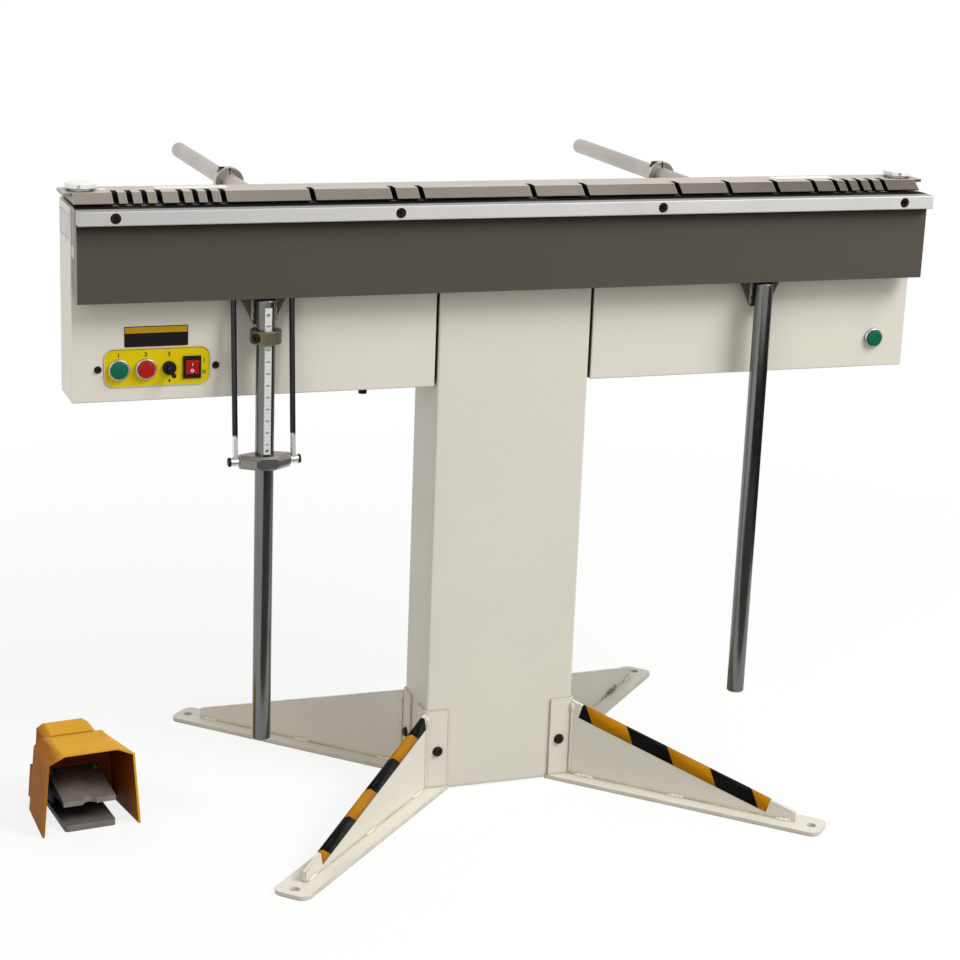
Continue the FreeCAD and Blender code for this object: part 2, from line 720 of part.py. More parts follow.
def make_coil():
    """One racetrack winding round the core, and the strip that closes its slots."""
    gap = d.coil_gap
    wide = core_thick + d.coil_slot * 2
    coil_tall = pole_tall - d.slot_cover_thick
    low = (-(slot_end - gap), front_pole_back + gap, yoke_top)
    outer = box(low, ((slot_end - gap) * 2, wide - gap * 2, coil_tall))
    outer = round_edges(outer, lambda edge: along(edge, "z"), d.coil_slot * 0.8)
    inner_low = (-(core_half + gap), core_front - gap, yoke_top - 1)
    inner = box(inner_low, ((core_half + gap) * 2, core_thick + gap * 2, coil_tall + 2))
    node("magnet_coil", cut(outer, inner))
    strip_low = (-slot_end, front_pole_back, d.bed_top - d.slot_cover_thick)
    strip = box(strip_low, (slot_end * 2, wide, d.slot_cover_thick))
    hole_low = (-core_half, core_front, d.bed_top - d.slot_cover_thick - 1)
    hole = box(hole_low, (core_half * 2, core_thick, d.slot_cover_thick + 2))
    node("slot_cover", cut(strip, hole))
    blocks = []
    for side in (-1, 1):
        start = slot_end if side > 0 else -d.bed_length / 2
        block = box((start, front_pole_back, yoke_top), (d.bed_length / 2 - slot_end, wide, pole_tall))
        seat = rod("z", (knob_x * side, knob_y, d.bed_top - d.ball_seat), d.ball_seat + 1, d.ball_seat)
        blocks.append(cut(block, seat))
    node("bed_end_blocks", group(*blocks))


# Bending beam and its hinge
def make_sectors():
    """Three hinge sectors, each half a drum with an arc tongue at both ends."""
    sectors = []
    for x in hinge_places:
        half = d.sector_length / 2
        reach = half + d.tongue_length
        drum = rod("x", (x - half, d.fold_y, d.bed_top), half * 2, d.sector_radius)
        ring = rod("x", (x - reach, d.fold_y, d.bed_top), reach * 2, d.tongue_outer)
        hub_end = rod("x", (x - reach, d.fold_y, d.bed_top), d.tongue_length, d.tongue_inner)
        hub_far = rod("x", (x + half, d.fold_y, d.bed_top), d.tongue_length, d.tongue_inner)
        whole = fuse(drum, cut(ring, hub_end, hub_far))
        sectors.append(common(whole, below_bed(x)))
    node("hinge_sectors", group(*sectors))


def make_beam():
    """The bending beam: a thick plate with three half bores for the hinge."""
    plate = box((bed_left, beam_front, beam_low), (d.bed_length, d.beam_thick, d.beam_height))
    tools = []
    for x in hinge_places:
        tools.extend(hinge_bore(x, d.running_gap))
    screw_z = d.bed_top - d.bar_height / 2
    reach = d.bar_screw_long - (d.bar_thick - d.bar_bore_deep)
    for x in bar_screw_places():
        tools.append(rod("y", (x, beam_front - 1, screw_z), reach + 1, d.bar_screw))
    for x in plate_screw_places():
        start = (x, beam_back - d.plate_thick * 2, plate_screw_z())
        tools.append(rod("y", start, d.plate_thick * 2 + 1, d.plate_screw))
    node("bending_beam", cut(plate, *tools))


def bar_screw_places():
    """Four screws, evenly spaced about the middle."""
    pitch = (d.bed_length - d.bar_screw_inset * 2) / 3
    return [pitch * step for step in (-1.5, -0.5, 0.5, 1.5)]


def plate_screw_places():
    """Two screws through each handle plate."""
    return [d.handle_x * side + d.plate_screw_x * step for side in (-1, 1) for step in (-1, 1)]


def plate_screw_z():
    """Half way up the lap of a handle plate behind the beam."""
    return beam_low + d.plate_lap / 2


def make_extension_bar():
    """The bar bolted to the top of the beam, and its four cap screws."""
    bar = box((bed_left, bar_front, d.bed_top - d.bar_height), (d.bed_length, d.bar_thick, d.bar_height))
    bar = round_edges(bar, lambda edge: edge.Vertexes[0].Y < bar_front.value + 1
                      and edge.Vertexes[-1].Y < bar_front.value + 1, d.bar_chamfer, "Part::Chamfer")
    screw_z = d.bed_top - d.bar_height / 2
    tools = []
    screws = []
    for x in bar_screw_places():
        tools.append(rod("y", (x, bar_front - 1, screw_z), d.bar_bore_deep + 1, d.bar_bore))
        tools.append(rod("y", (x, bar_front, screw_z), d.bar_thick + 1, d.bar_screw + d.screw_gap))
        head_long = d.bar_screw * 2 - 0.5
        start = (x, bar_front + d.bar_bore_deep - head_long, screw_z)
        long = d.bar_screw_long
        screws.append(cap_screw("y", start, head_long, long, d.bar_screw_head, d.bar_screw, d.hex_socket))
    node("extension_bar", cut(bar, *tools))
    for x in plate_screw_places():
        start = (x, beam_back - d.plate_thick * 2, plate_screw_z())
        shank = rod("y", start, d.plate_thick * 3, d.plate_screw)
        head = rod("y", (x, beam_back + d.plate_thick, plate_screw_z()), d.plate_screw, d.plate_screw * 1.6)
        screws.append(fuse(shank, head))
    node("beam_screws", group(*screws))


def make_handle(name, side):
    """A handle tube with a closed foot; gives the plate that carries it."""
    x = d.handle_x * side
    tall = beam_low - handle_low - d.handle_gap
    tube = rod("z", (x, handle_y, handle_low), tall, d.handle_radius)
    tube = round_edges(tube, lambda edge: edge.Curve.TypeId == "Part::GeomCircle", 1.5, "Part::Chamfer")
    bore = rod("z", (x, handle_y, handle_low + 4), tall, d.handle_radius - d.handle_wall)
    node("handle_" + name, cut(tube, bore))
    points = (
        (x - d.plate_half_width, beam_low + d.plate_lap),
        (x - d.plate_half_width, beam_low),
        (x - d.plate_toe, beam_low - d.plate_drop),
        (x + d.plate_toe, beam_low - d.plate_drop),
        (x + d.plate_half_width, beam_low),
        (x + d.plate_half_width, beam_low + d.plate_lap),
    )
    plate = prism("xz", points, beam_back, d.plate_thick)
    holes = []
    for step in (-1, 1):
        start = (x + d.plate_screw_x * step, beam_back - 1, plate_screw_z())
        holes.append(rod("y", start, d.plate_thick + 2, d.plate_screw))
    return cut(plate, *holes)


# Angle gauge on the left handle
def make_scale():
    """The scale strip, its back shaped to the tube."""
    x = -d.handle_x
    tall = scale_high - scale_low
    strip = box((x - d.scale_wide / 2, scale_front, scale_low), (d.scale_wide, d.scale_thick * 3, tall))
    tube = rod("z", (x, handle_y, scale_low - 1), tall + 2, d.handle_radius)
    node("angle_scale", cut(strip, tube))


def scale_way(low, tall):
    """The groove that clears the scale strip inside a ring on the handle."""
    wide = d.scale_wide + 1.2
    start = (-d.handle_x - wide / 2, scale_front - 1.6, low - 1)
    return box(start, (wide, d.handle_radius + d.scale_thick + 1.6, tall + 2))


def slanted(edge):
    """True for a level edge that runs along neither axis."""
    return not any(along(edge, axis) for axis in "xyz") and abs(edge.Curve.Direction.z) < 1e-6


def make_slider():
    """The slider that the gauge rods draw along the left handle."""
    body = new_body("slider_body")
    x = -d.handle_x
    points = (
        (x - d.slider_half, handle_y - d.slider_tip), (x - d.slider_land, handle_y - d.slider_front),
        (x + d.slider_land, handle_y - d.slider_front), (x + d.slider_half, handle_y - d.slider_tip),
        (x + d.slider_half, handle_y + d.slider_tip), (x + d.slider_land, handle_y + d.slider_back),
        (x - d.slider_land, handle_y + d.slider_back), (x - d.slider_half, handle_y + d.slider_tip),
    )
    low = slider_z - d.slider_tall / 2
    block = pad(body, body_sketch(body, "xy", points, low), d.slider_tall)
    tapered = body_chamfer(body, block, slanted, d.slider_facet)
    body_chamfer(body, tapered, lambda edge: along(edge, "x"), d.slider_bevel)
    bore = rod("z", (x, handle_y, low - 1), d.slider_tall + 2, d.handle_radius + d.running_gap)
    node("gauge_slider", cut(body, bore, scale_way(low, d.slider_tall)))


def make_stop_collar():
    """The collar that stops the slider at a set angle, and its screw."""
    x = -d.handle_x
    low = stop_z - d.stop_wide / 2
    ring = rod("z", (x, handle_y, low), d.stop_wide, d.stop_radius)
    ring = round_edges(ring, lambda edge: edge.Curve.TypeId == "Part::GeomCircle", 1.0, "Part::Chamfer")
    bore = rod("z", (x, handle_y, low - 1), d.stop_wide + 2, d.handle_radius + d.running_gap)
    aside, ahead = 0.787, 0.617
    way = FreeCAD.Rotation(FreeCAD.Vector(0, 0, 1), FreeCAD.Vector(-aside, -ahead, 0))
    middle = (x, handle_y, stop_z)
    seat = d.stop_radius - d.stop_screw_seat
    head_at = (x - seat * aside, handle_y - seat * ahead, stop_z)
    rim = seat + d.stop_screw_tall / 2
    socket_at = (x - rim * aside, handle_y - rim * ahead, stop_z)
    hole = place(rod("z", middle, seat + 1, d.stop_screw / 2 + 0.1), middle, way)
    spot_face = place(rod("z", middle, d.stop_screw_tall * 2, d.stop_screw + 0.3), head_at, way)
    shank = place(rod("z", middle, seat + 1, d.stop_screw / 2), middle, way)
    head = place(rod("z", middle, d.stop_screw_tall, d.stop_screw), head_at, way)
    socket = place(hexagon("z", middle, d.stop_screw_tall, d.stop_screw * 0.5), socket_at, way)
    clear = rod("z", (x, handle_y, low), d.stop_wide, d.handle_radius + 0.2)
    node("stop_collar", cut(ring, bore, scale_way(low, d.stop_wide), hole, spot_face))
    node("stop_collar_screw", cut(fuse(head, shank), clear, socket))


def make_gauge_rods():
    """Two rods from pivots behind the beam to the sides of the slider."""
    top = (d.fold_y + d.gauge_pivot_y, d.bed_top - d.gauge_pivot_z)
    rise = top[1] - slider_z
    back = top[0] - handle_y
    lean = FreeCAD.Vector(0, back.value, rise.value)
    way = FreeCAD.Rotation(FreeCAD.Vector(0, 0, 1), lean)
    rods = []
    screws = []
    for side in (-1, 1):
        x = -d.handle_x + d.gauge_rod_x * side
        half = d.gauge_rod
        bar = rod("z", (x, handle_y, slider_z), lean.Length, d.gauge_rod)
        place(bar, (x, handle_y, slider_z), way)
        eye = rod("x", (x - half, top[0], top[1]), half * 2, d.gauge_eye)
        sleeve_at = x - half if side > 0 else x + half - d.sleeve_length
        sleeve = rod("x", (sleeve_at, handle_y, slider_z), d.sleeve_length, d.gauge_eye - 1)
        hole = rod("x", (x - half - 1, top[0], top[1]), half * 2 + 2, d.gauge_pin + d.running_gap)
        blade = box((0, 0, 0), (d.blade_thick, d.blade_wide, d.blade_tall))
        set_in = way.multVec(FreeCAD.Vector(0, d.blade_wide.value / 2, 0))
        place(blade, (x - d.blade_thick / 2, handle_y - set_in.y, slider_z - set_in.z), way)
        rods.append(cut(fuse(bar, eye, sleeve, blade), hole))
        outer = sleeve_at + d.sleeve_length if side > 0 else sleeve_at
        head_at = outer if side > 0 else outer - d.rod_screw_tall
        head = rod("x", (head_at, handle_y, slider_z), d.rod_screw_tall, d.rod_screw)
        tip = outer.value + side * d.rod_screw_tall.value
        screws.append(round_edges(head, lambda edge: edge.Curve.TypeId == "Part::GeomCircle"
                                  and abs(edge.Vertexes[0].X - tip) < 0.1, 1.6))
    node("gauge_rods", group(*rods))
    node("gauge_rod_screws", group(*screws))


def make_gauge_bracket():
    """The bracket on the cover that carries the upper pivots."""
    x = -d.handle_x
    top = (d.fold_y + d.gauge_pivot_y, d.bed_top - d.gauge_pivot_z)
    inner = d.gauge_rod_x - d.gauge_rod - 1
    back = box((x - inner, d.cover_front - 3, top[1] - 12), (inner * 2, 3, 24))
    pieces = [back]
    for side in (-1, 1):
        ear_x = x + inner - 3 if side > 0 else x - inner
        pieces.append(box((ear_x, top[0] - 6, top[1] - 6), (3, d.cover_front - top[0] + 5, 12)))
        pin_x = ear_x if side > 0 else ear_x - d.gauge_rod * 2 - 3
        pieces.append(rod("x", (pin_x, top[0], top[1]), d.gauge_rod * 2 + 6, d.gauge_pin))
        head_x = pin_x + d.gauge_rod * 2 + 5 if side > 0 else pin_x - 1
        pieces.append(rod("x", (head_x, top[0], top[1]), 2, d.gauge_pin + 2))
    node("gauge_bracket", fuse(*pieces))


# Clamping bar
def make_clamping_bar():
    """The slotted bar: a bevelled nose, tray slots and a lip at each end."""
    points = (
        (nose_y, clamp_low), (nose_y, clamp_low + d.clamp_nose),
        (nose_y + d.clamp_bevel, clamp_high), (nose_y + d.clamp_bevel + d.clamp_top, clamp_high),
        (nose_y + d.clamp_bevel + d.clamp_top + d.clamp_heel, clamp_high - d.clamp_heel_drop),
        (nose_y + d.clamp_bevel + d.clamp_top + d.clamp_heel, clamp_low),
    )
    bar = new_body("clamping_bar_profile")
    pad(bar, body_sketch(bar, "yz", points), clamp_half * 2, middle=True)
    lips = []
    tools = []
    for side in (-1, 1):
        start = clamp_half - 1 if side > 0 else -clamp_half - d.finger_lip
        low = (start, nose_y + d.clamp_bevel, clamp_high - d.finger_lip_thick)
        lips.append(box(low, (d.finger_lip + 1, d.clamp_top, d.finger_lip_thick)))
        hub = d.knob_hub + d.running_gap
        tools.append(rod("z", (knob_x * side, knob_y, clamp_low - 1), d.clamp_tall + 2, hub))
    for share in SLOT_SHARES:
        low = (clamp_half * share - d.slot_wide / 2, nose_y - 1, clamp_low - 1)
        tools.append(box(low, (d.slot_wide, d.slot_deep + 1, d.clamp_tall + 2)))
    node("clamping_bar", cut(fuse(bar, *lips), *tools))


def make_adjusters():
    """Adjuster knobs in the clamping bar, each over a sprung locating ball."""
    plungers = []
    ball_z = d.bed_top + 4.05
    for name, side in (("left", -1), ("right", 1)):
        x = knob_x * side
        disc_low = clamp_high + d.knob_gap
        disc = rod("z", (x, knob_y, disc_low), d.knob_tall, d.knob_radius)
        disc = round_edges(disc, lambda edge: edge.Curve.TypeId == "Part::GeomCircle",
                           d.knob_chamfer, "Part::Chamfer")
        hub = rod("z", (x, knob_y, clamp_low + 0.5), disc_low - clamp_low, d.knob_hub)
        well = rod("z", (x, knob_y, clamp_low), d.clamp_tall - 1, d.ball_radius + d.face_gap)
        hole = rod("y", (x - 6, knob_y - d.knob_radius - 1, disc_low + d.knob_tall / 2), 9, d.tommy_hole)
        node("adjuster_" + name, cut(fuse(disc, hub), well, hole))
        stem = rod("z", (x, knob_y, ball_z), 9, d.ball_radius - 1)
        plungers.append(fuse(ball((x, knob_y, ball_z), d.ball_radius), stem))
    node("ball_plungers", group(*plungers))


# Backstop rods
def make_backstop():
    """Two rods screwed into the rear pole, each with a split collar."""
    rods = []
    z = d.bed_top - d.backstop_drop
    for name, side in (("left", -1), ("right", 1)):
        x = d.backstop_x * side
        shaft = rod("y", (x, bed_back, z), d.backstop_end - bed_back, d.backstop_radius)
        shaft = round_edges(shaft, lambda edge: edge.Vertexes[0].Y > d.backstop_end.value - 1,
                            2.0, "Part::Chamfer")
        spigot = rod("y", (x, bed_back - d.backstop_spigot_long, z), d.backstop_spigot_long + 1,
                     d.backstop_spigot)
        rods.append(fuse(shaft, spigot))
        low_y = d.backstop_collar_y - d.backstop_collar_wide / 2
        ring = rod("y", (x, low_y, z), d.backstop_collar_wide, d.backstop_collar)
        ring = round_edges(ring, lambda edge: edge.Curve.TypeId == "Part::GeomCircle", 1.2, "Part::Chamfer")
        bore = rod("y", (x, low_y - 1, z), d.backstop_collar_wide + 2, d.backstop_radius + d.running_gap)
        slit = box((x - d.collar_slit / 2, low_y - 1, z),
                   (d.collar_slit, d.backstop_collar_wide + 2, d.backstop_collar + 1))
        lug_z = z + (d.backstop_radius + d.backstop_collar) / 2
        head_room = rod("x", (x - d.backstop_collar, d.backstop_collar_y, lug_z), d.backstop_collar - 7,
                        d.collar_screw + 0.3)
        passage = rod("x", (x - 8, d.backstop_collar_y, lug_z), 19, 2.2)
        node("backstop_collar_" + name, cut(ring, bore, slit, head_room, passage))
        head_start = (x - 7 - d.collar_screw_tall, d.backstop_collar_y, lug_z)
        head = rod("x", head_start, d.collar_screw_tall, d.collar_screw)
        shank = rod("x", (x - 7, d.backstop_collar_y, lug_z), 17, 2.0)
        node("backstop_collar_screw_" + name, fuse(head, shank))
    node("backstop_rods", group(*rods))


# Column and feet
def column_bolt_places():
    """Bolt axis letter, outward sign and the two places that fix it."""
    places = []
    across = d.column_width / 2 - d.foot_bolt_inset
    deep = d.column_depth / 2 - d.foot_bolt_inset
    for x_side in (-1, 1):
        for y_side in (-1, 1):
            places.append(("y", x_side, y_side, across * x_side, d.column_depth / 2 * y_side))
            places.append(("x", x_side, y_side, d.column_width / 2 * x_side, deep * y_side))
    return places


def bolt_hole(axis, x, y, radius):
    """A hole through a column wall and the foot flange outside it."""
    if axis == "y":
        return rod("y", (x, y - 12, d.foot_bolt_z), 24, radius)
    return rod("x", (x - 12, y, d.foot_bolt_z), 24, radius)


def make_column():
    """The folded column with its top plate, a rear window and the panel over it."""
    tall = bed_low - d.column_low
    wall = d.column_wall
    low = (-d.column_width / 2, -d.column_depth / 2, d.column_low)
    shell = box(low, (d.column_width, d.column_depth, tall))
    shell = round_edges(shell, lambda edge: along(edge, "z"), 3.5)
    hollow_low = (-d.column_width / 2 + wall, -d.column_depth / 2 + wall, d.column_low - 1)
    hollow_span = (d.column_width - wall * 2, d.column_depth - wall * 2, tall - d.column_cap + 1)
    hollow = box(hollow_low, hollow_span)
    window = box((-d.window_half, d.column_depth / 2 - wall - 1, d.window_low),
                 (d.window_half * 2, wall + 2, d.window_high - d.window_low))
    gap = d.screw_gap
    holes = [bolt_hole(axis, x, y, d.foot_bolt + gap) for axis, _, _, x, y in column_bolt_places()]
    for x, y in bed_bolt_places():
        holes.append(rod("z", (x, y, bed_low - d.column_cap - 1), d.column_cap + 2, d.bed_bolt))
    node("column", cut(shell, hollow, window, *holes))
    lap = d.window_lap
    panel_low = (-d.window_half - lap, d.column_depth / 2, d.window_low - lap)
    panel_span = ((d.window_half + lap) * 2, d.panel_sheet, d.window_high - d.window_low + lap * 2)
    node("column_rear_panel", box(panel_low, panel_span))


def make_foot(name, x_side, y_side, turn):
    """A foot: a floor strip, an upright rib and the angle that wraps the column corner."""
    end = d.foot_reach + d.foot_tail
    heel, side_y = d.foot_heel, d.foot_wide / 2
    strip = prism("xy", ((heel, 0), (end, 0), (end, side_y), (heel - side_y, side_y)), 0, d.foot_thick)
    mirrored = prism("xy", ((heel - side_y, -side_y), (end, -side_y), (end, 0), (heel, 0)), 0, d.foot_thick)
    strip = fuse(strip, mirrored)
    strip = round_edges(strip, lambda edge: along(edge, "z") and edge.Vertexes[0].X > 100, d.foot_corner)
    rib_end = d.foot_reach - d.foot_rib_back
    rib_points = ((d.foot_heel, d.foot_thick - 1), (rib_end, d.foot_thick - 1), (rib_end, d.foot_rib_toe),
                  (d.foot_heel, d.foot_rib_tall))
    rib = prism("xz", rib_points, -d.foot_rib / 2, d.foot_rib)
    leg = d.foot_flange
    skin = d.foot_flange_thick
    span = (leg, leg, d.foot_flange_high - d.foot_flange_low)
    solid = box((-skin, -skin, d.foot_flange_low), span)
    solid = round_edges(solid, lambda edge: along(edge, "z")
                        and edge.Vertexes[0].X < 0 and edge.Vertexes[0].Y < 0, 6.0)
    corner = cut(solid, box((0, 0, 0), (leg, leg, d.foot_flange_high + 1)))
    for_turn = FreeCAD.Rotation(FreeCAD.Vector(0, 0, 1), 180 + DIAGONAL)
    place(corner, (0, 0, 0), for_turn.inverted())
    joined = fuse(strip, rib, corner)
    hole = rod("z", (d.foot_reach, 0, -1), d.foot_thick + 2, d.floor_bolt)
    tools = [hole]
    inset = d.foot_bolt_inset
    for side in (-1, 1):
        bolt = rod("z", (0, 0, 0), 24, d.foot_bolt + d.screw_gap)
        way = FreeCAD.Rotation(FreeCAD.Vector(0, 0, 1), FreeCAD.Vector(ROOT_HALF, ROOT_HALF * side, 0))
        inner = inset * ROOT_HALF
        tools.append(place(bolt, (-inner - 8, (inner - 8) * side, d.foot_bolt_z), way))
    made = cut(joined, *tools)
    at = (d.column_width / 2 * x_side, d.column_depth / 2 * y_side, 0)
    place(made, at, FreeCAD.Rotation(FreeCAD.Vector(0, 0, 1), turn))
    node(name, made)


def make_feet():
    """Four feet, and their bolts with the nuts inside the column."""
    make_foot("foot_front_left", -1, -1, -180 + DIAGONAL)
    make_foot("foot_front_right", 1, -1, -DIAGONAL)
    make_foot("foot_rear_right", 1, 1, DIAGONAL)
    make_foot("foot_rear_left", -1, 1, 180 - DIAGONAL)
    bolts = []
    skin = d.foot_flange_thick
    wall = d.column_wall
    for axis, x_side, y_side, x, y in column_bolt_places():
        out = x_side if axis == "x" else y_side
        long = skin + wall + d.foot_nut_tall + 2
        head_far = (skin + d.foot_bolt_head_tall) * out
        start_head = head_far if out < 0 else skin
        start_shank = -long + skin if out > 0 else -skin
        start_nut = -wall - d.foot_nut_tall if out > 0 else wall
        if axis == "y":
            head_at = (x, y + start_head, d.foot_bolt_z)
            shank_at = (x, y + start_shank, d.foot_bolt_z)
            nut_at = (x, y + start_nut, d.foot_bolt_z)
        else:
            head_at = (x + start_head, y, d.foot_bolt_z)
            shank_at = (x + start_shank, y, d.foot_bolt_z)
            nut_at = (x + start_nut, y, d.foot_bolt_z)
        wide, slim = d.foot_bolt_head, d.foot_bolt_head * 0.62
        near, far = (slim, wide) if out < 0 else (wide, slim)
        head = cone(axis, head_at, d.foot_bolt_head_tall, near, far)
        shank = rod(axis, shank_at, long, d.foot_bolt)
        nut = hexagon(axis, nut_at, d.foot_nut_tall, d.foot_nut)
        bolts.append(fuse(head, shank, nut))
    node("foot_bolts", group(*bolts))


# Covers and controls
def cover_sheets(side, front_tools, floor_tools):
    """The sheets of a cover, welded at the corners, with a taller end sheet."""
    thick = d.cover_sheet
    outer = d.bed_length / 2 + thick
    long = outer - d.cover_inner
    tall = bed_low - cover_low
    end_tall = tall + d.bed_height - d.cover_cap_drop
    start = d.cover_inner if side > 0 else -outer
    far = start + long - thick
    inner_x, outer_x = (start, far) if side > 0 else (far, start)
    inside = long - thick * 2
    between = d.cover_depth - thick * 2
    flange = d.cover_lip - thick
    left = start + thick
    near = d.cover_front + thick
    back = d.cover_front + d.cover_depth - thick
    flange_low = bed_low - thick
    whole = box((start, d.cover_front, cover_low), (long, d.cover_depth, end_tall))
    top = bed_low.value
    whole = round_edges(whole, lambda edge: edge.Vertexes[0].Z < top or edge.Vertexes[1].Z < top, thick)
    front = common(whole, box((left, d.cover_front, cover_low), (inside, thick, tall)))
    floor = common(whole, box((left, near, cover_low), (inside, between, thick)))
    return group(
        cut(front, *front_tools),
        cut(floor, *floor_tools) if floor_tools else floor,
        common(whole, box((left, back, cover_low), (inside, thick, tall))),
        box((left, near, flange_low), (inside, flange, thick)),
        box((left, back - flange, flange_low), (inside, flange, thick)),
        common(whole, box((inner_x, d.cover_front, cover_low), (thick, d.cover_depth, tall))),
        common(whole, box((outer_x, d.cover_front, cover_low), (thick, d.cover_depth, end_tall))),
    )


def wall_hole(x, z, radius):
    """A round hole through the front wall of a cover and the panel on it."""
    return rod("y", (x, panel_front - 1, z), d.cover_sheet + d.panel_thick + 2, radius)


def panel_tools():
    """Every opening that the switches need in the panel and in the wall behind."""
    gap = 0.3
    tools = []
    for x in (start_x, stop_x):
        tools.append(wall_hole(x, button_z, d.barrel_radius + gap))
    tools.append(wall_hole(toggle_x, button_z, 6 + gap))
    low = (rocker_x - d.rocker_half - 1.5, panel_front - 1, button_z - d.rocker_radius - 1.5)
    span = (d.rocker_half * 2 + 3, d.cover_sheet + d.panel_thick + 2, d.rocker_radius * 2 + 3)
    tools.append(box(low, span))
    return tools


def make_covers():
    """Left cover with the controls, right cover with one more start button."""
    tools = panel_tools()
    for side in (-1, 1):
        tools.append(wall_hole(panel_x + d.panel_screw_x * side, button_z + d.panel_screw_drop, 3.2))
    gland_way = rod("z", (gland_x, gland_y, cover_low - 1), d.cover_sheet + 2, d.gland_radius - 1.5)
    node("cover_left", cover_sheets(-1, tools, [gland_way]))
    button_way = wall_hole(right_start_x, button_z, d.barrel_radius + 0.3)
    node("cover_right", cover_sheets(1, [button_way], []))


def make_panel():
    """The switch plate, with its rounded corners."""
    body = new_body("panel_body")
    points = rectangle(panel_x - d.panel_long / 2, panel_z - d.panel_tall / 2, d.panel_long, d.panel_tall)
    plate = pad(body, body_sketch(body, "xz", points, -d.cover_front), d.panel_thick)
    body_fillet(body, plate, lambda edge: along(edge, "y"), d.panel_corner)
    node("control_panel", cut(body, *panel_tools()))
    screws = []
    for side in (-1, 1):
        x = panel_x + d.panel_screw_x * side
        z = button_z + d.panel_screw_drop
        head = cone("y", (x, d.cover_front - 3.4, z), 3.4, d.panel_screw_head * 0.6, d.panel_screw_head)
        screws.append(fuse(head, rod("y", (x, d.cover_front, z), 10, 3.0)))
    node("panel_screws", group(*screws))


def button(name, x, face):
    """A push button cap with its stem; face is what its bezel stands on."""
    back = face - d.bezel_deep - d.cap_proud
    cap = rod("y", (x, back, button_z), d.cap_tall, d.cap_radius)
    cap = round_edges(cap, lambda edge: edge.Vertexes[0].Y < back.value + 1, 1.2)
    stem = rod("y", (x, back + d.cap_tall, button_z), 16, d.barrel_bore - 0.4)
    node(name, fuse(cap, stem))


def bezel(x, face):
    """A bezel ring with the barrel that passes through the wall."""
    ring = rod("y", (x, face - d.bezel_deep, button_z), d.bezel_deep, d.bezel_radius)
    ring = round_edges(ring, lambda edge: edge.Vertexes[0].Y < face.value - 1, 1.0, "Part::Chamfer")
    well = rod("y", (x, face - d.bezel_deep - 1, button_z), d.bezel_deep, d.cap_radius + d.face_gap)
    barrel = rod("y", (x, face, button_z), d.barrel_long, d.barrel_radius)
    bore = rod("y", (x, face - 1, button_z), d.barrel_long + 2, d.barrel_bore)
    return cut(fuse(cut(ring, well), barrel), bore)


def make_buttons():
    """Three push buttons, their bezels and the contact blocks behind them."""
    button("start_button", start_x, panel_front)
    button("stop_button", stop_x, panel_front)
    button("start_button_right", right_start_x, d.cover_front)
    node("button_bezels", group(bezel(start_x, panel_front), bezel(stop_x, panel_front),
                                bezel(right_start_x, d.cover_front)))
    blocks = []
    half = d.block_half
    for x, face in ((start_x, panel_front), (stop_x, panel_front), (right_start_x, d.cover_front)):
        low = (x - half, face + d.barrel_long, button_z - half * 1.3)
        blocks.append(box(low, (half * 2, d.block_deep, half * 2.6)))
    node("contact_blocks", group(*blocks))


def make_toggle():
    """The toggle switch: a round base with its bush, and the lever that flips."""
    x = toggle_x
    base = rod("y", (x, panel_front - d.toggle_deep, button_z), d.toggle_deep, d.toggle_radius)
    base = round_edges(base, lambda edge: edge.Vertexes[0].Y < panel_front.value - 1, 1.5)
    bush = rod("y", (x, panel_front, button_z), 12, 6)
    housing = box((x - 7, panel_front + 12, button_z - 12), (14, 24, 24))
    well = ball((x, panel_front - d.toggle_deep, button_z), 4.4)
    node("toggle_switch", cut(fuse(base, bush, housing), well))
    down = FreeCAD.Rotation(FreeCAD.Vector(0, 0, 1), FreeCAD.Vector(0.16, -0.88, -0.44))
    at = (x, panel_front - d.toggle_deep, button_z)
    lever = place(cone("z", at, d.toggle_lever - 3, 2.0, 3.4), at, down)
    tip_vector = down.multVec(FreeCAD.Vector(0, 0, d.toggle_lever.value - 3))
    tip_at = (at[0] + tip_vector.x, at[1] + tip_vector.y, at[2] + tip_vector.z)
    node("toggle_lever", fuse(lever, ball(tip_at, 3.4), ball(at, 4.0)))


def make_rocker():
    """The rocker switch: a frame with its housing, and the rocker that tips."""
    x = rocker_x
    z = button_z
    wide, tall, deep = d.rocker_frame_wide, d.rocker_frame_tall, d.rocker_frame_deep
    frame = box((x - wide / 2, panel_front - deep, z - tall / 2), (wide, deep, tall))
    mouth_half = d.rocker_half + 0.6
    high = d.rocker_radius + 0.6
    housing = box((x - d.rocker_half - 1.2, panel_front, z - d.rocker_radius - 1.2),
                  (d.rocker_half * 2 + 2.4, 26, d.rocker_radius * 2 + 2.4))
    mouth = box((x - mouth_half, panel_front - deep - 1, z - high), (mouth_half * 2, deep + 9, high * 2))
    node("rocker_frame", cut(fuse(frame, housing), mouth))
    pivot_y = panel_front - 0.5
    drum = rod("x", (x - d.rocker_half, pivot_y, z), d.rocker_half * 2, d.rocker_radius)
    lean = d.rocker_radius
    points = ((pivot_y - 3.2, z), (pivot_y - 6.8, z + lean + 1), (pivot_y + 4, z + lean + 1),
              (pivot_y + 4, z - lean - 1), (pivot_y - 3.2, z - lean - 1))
    wedge = prism("yz", points, x - d.rocker_half - 1, d.rocker_half * 2 + 2)
    node("rocker", common(drum, wedge))


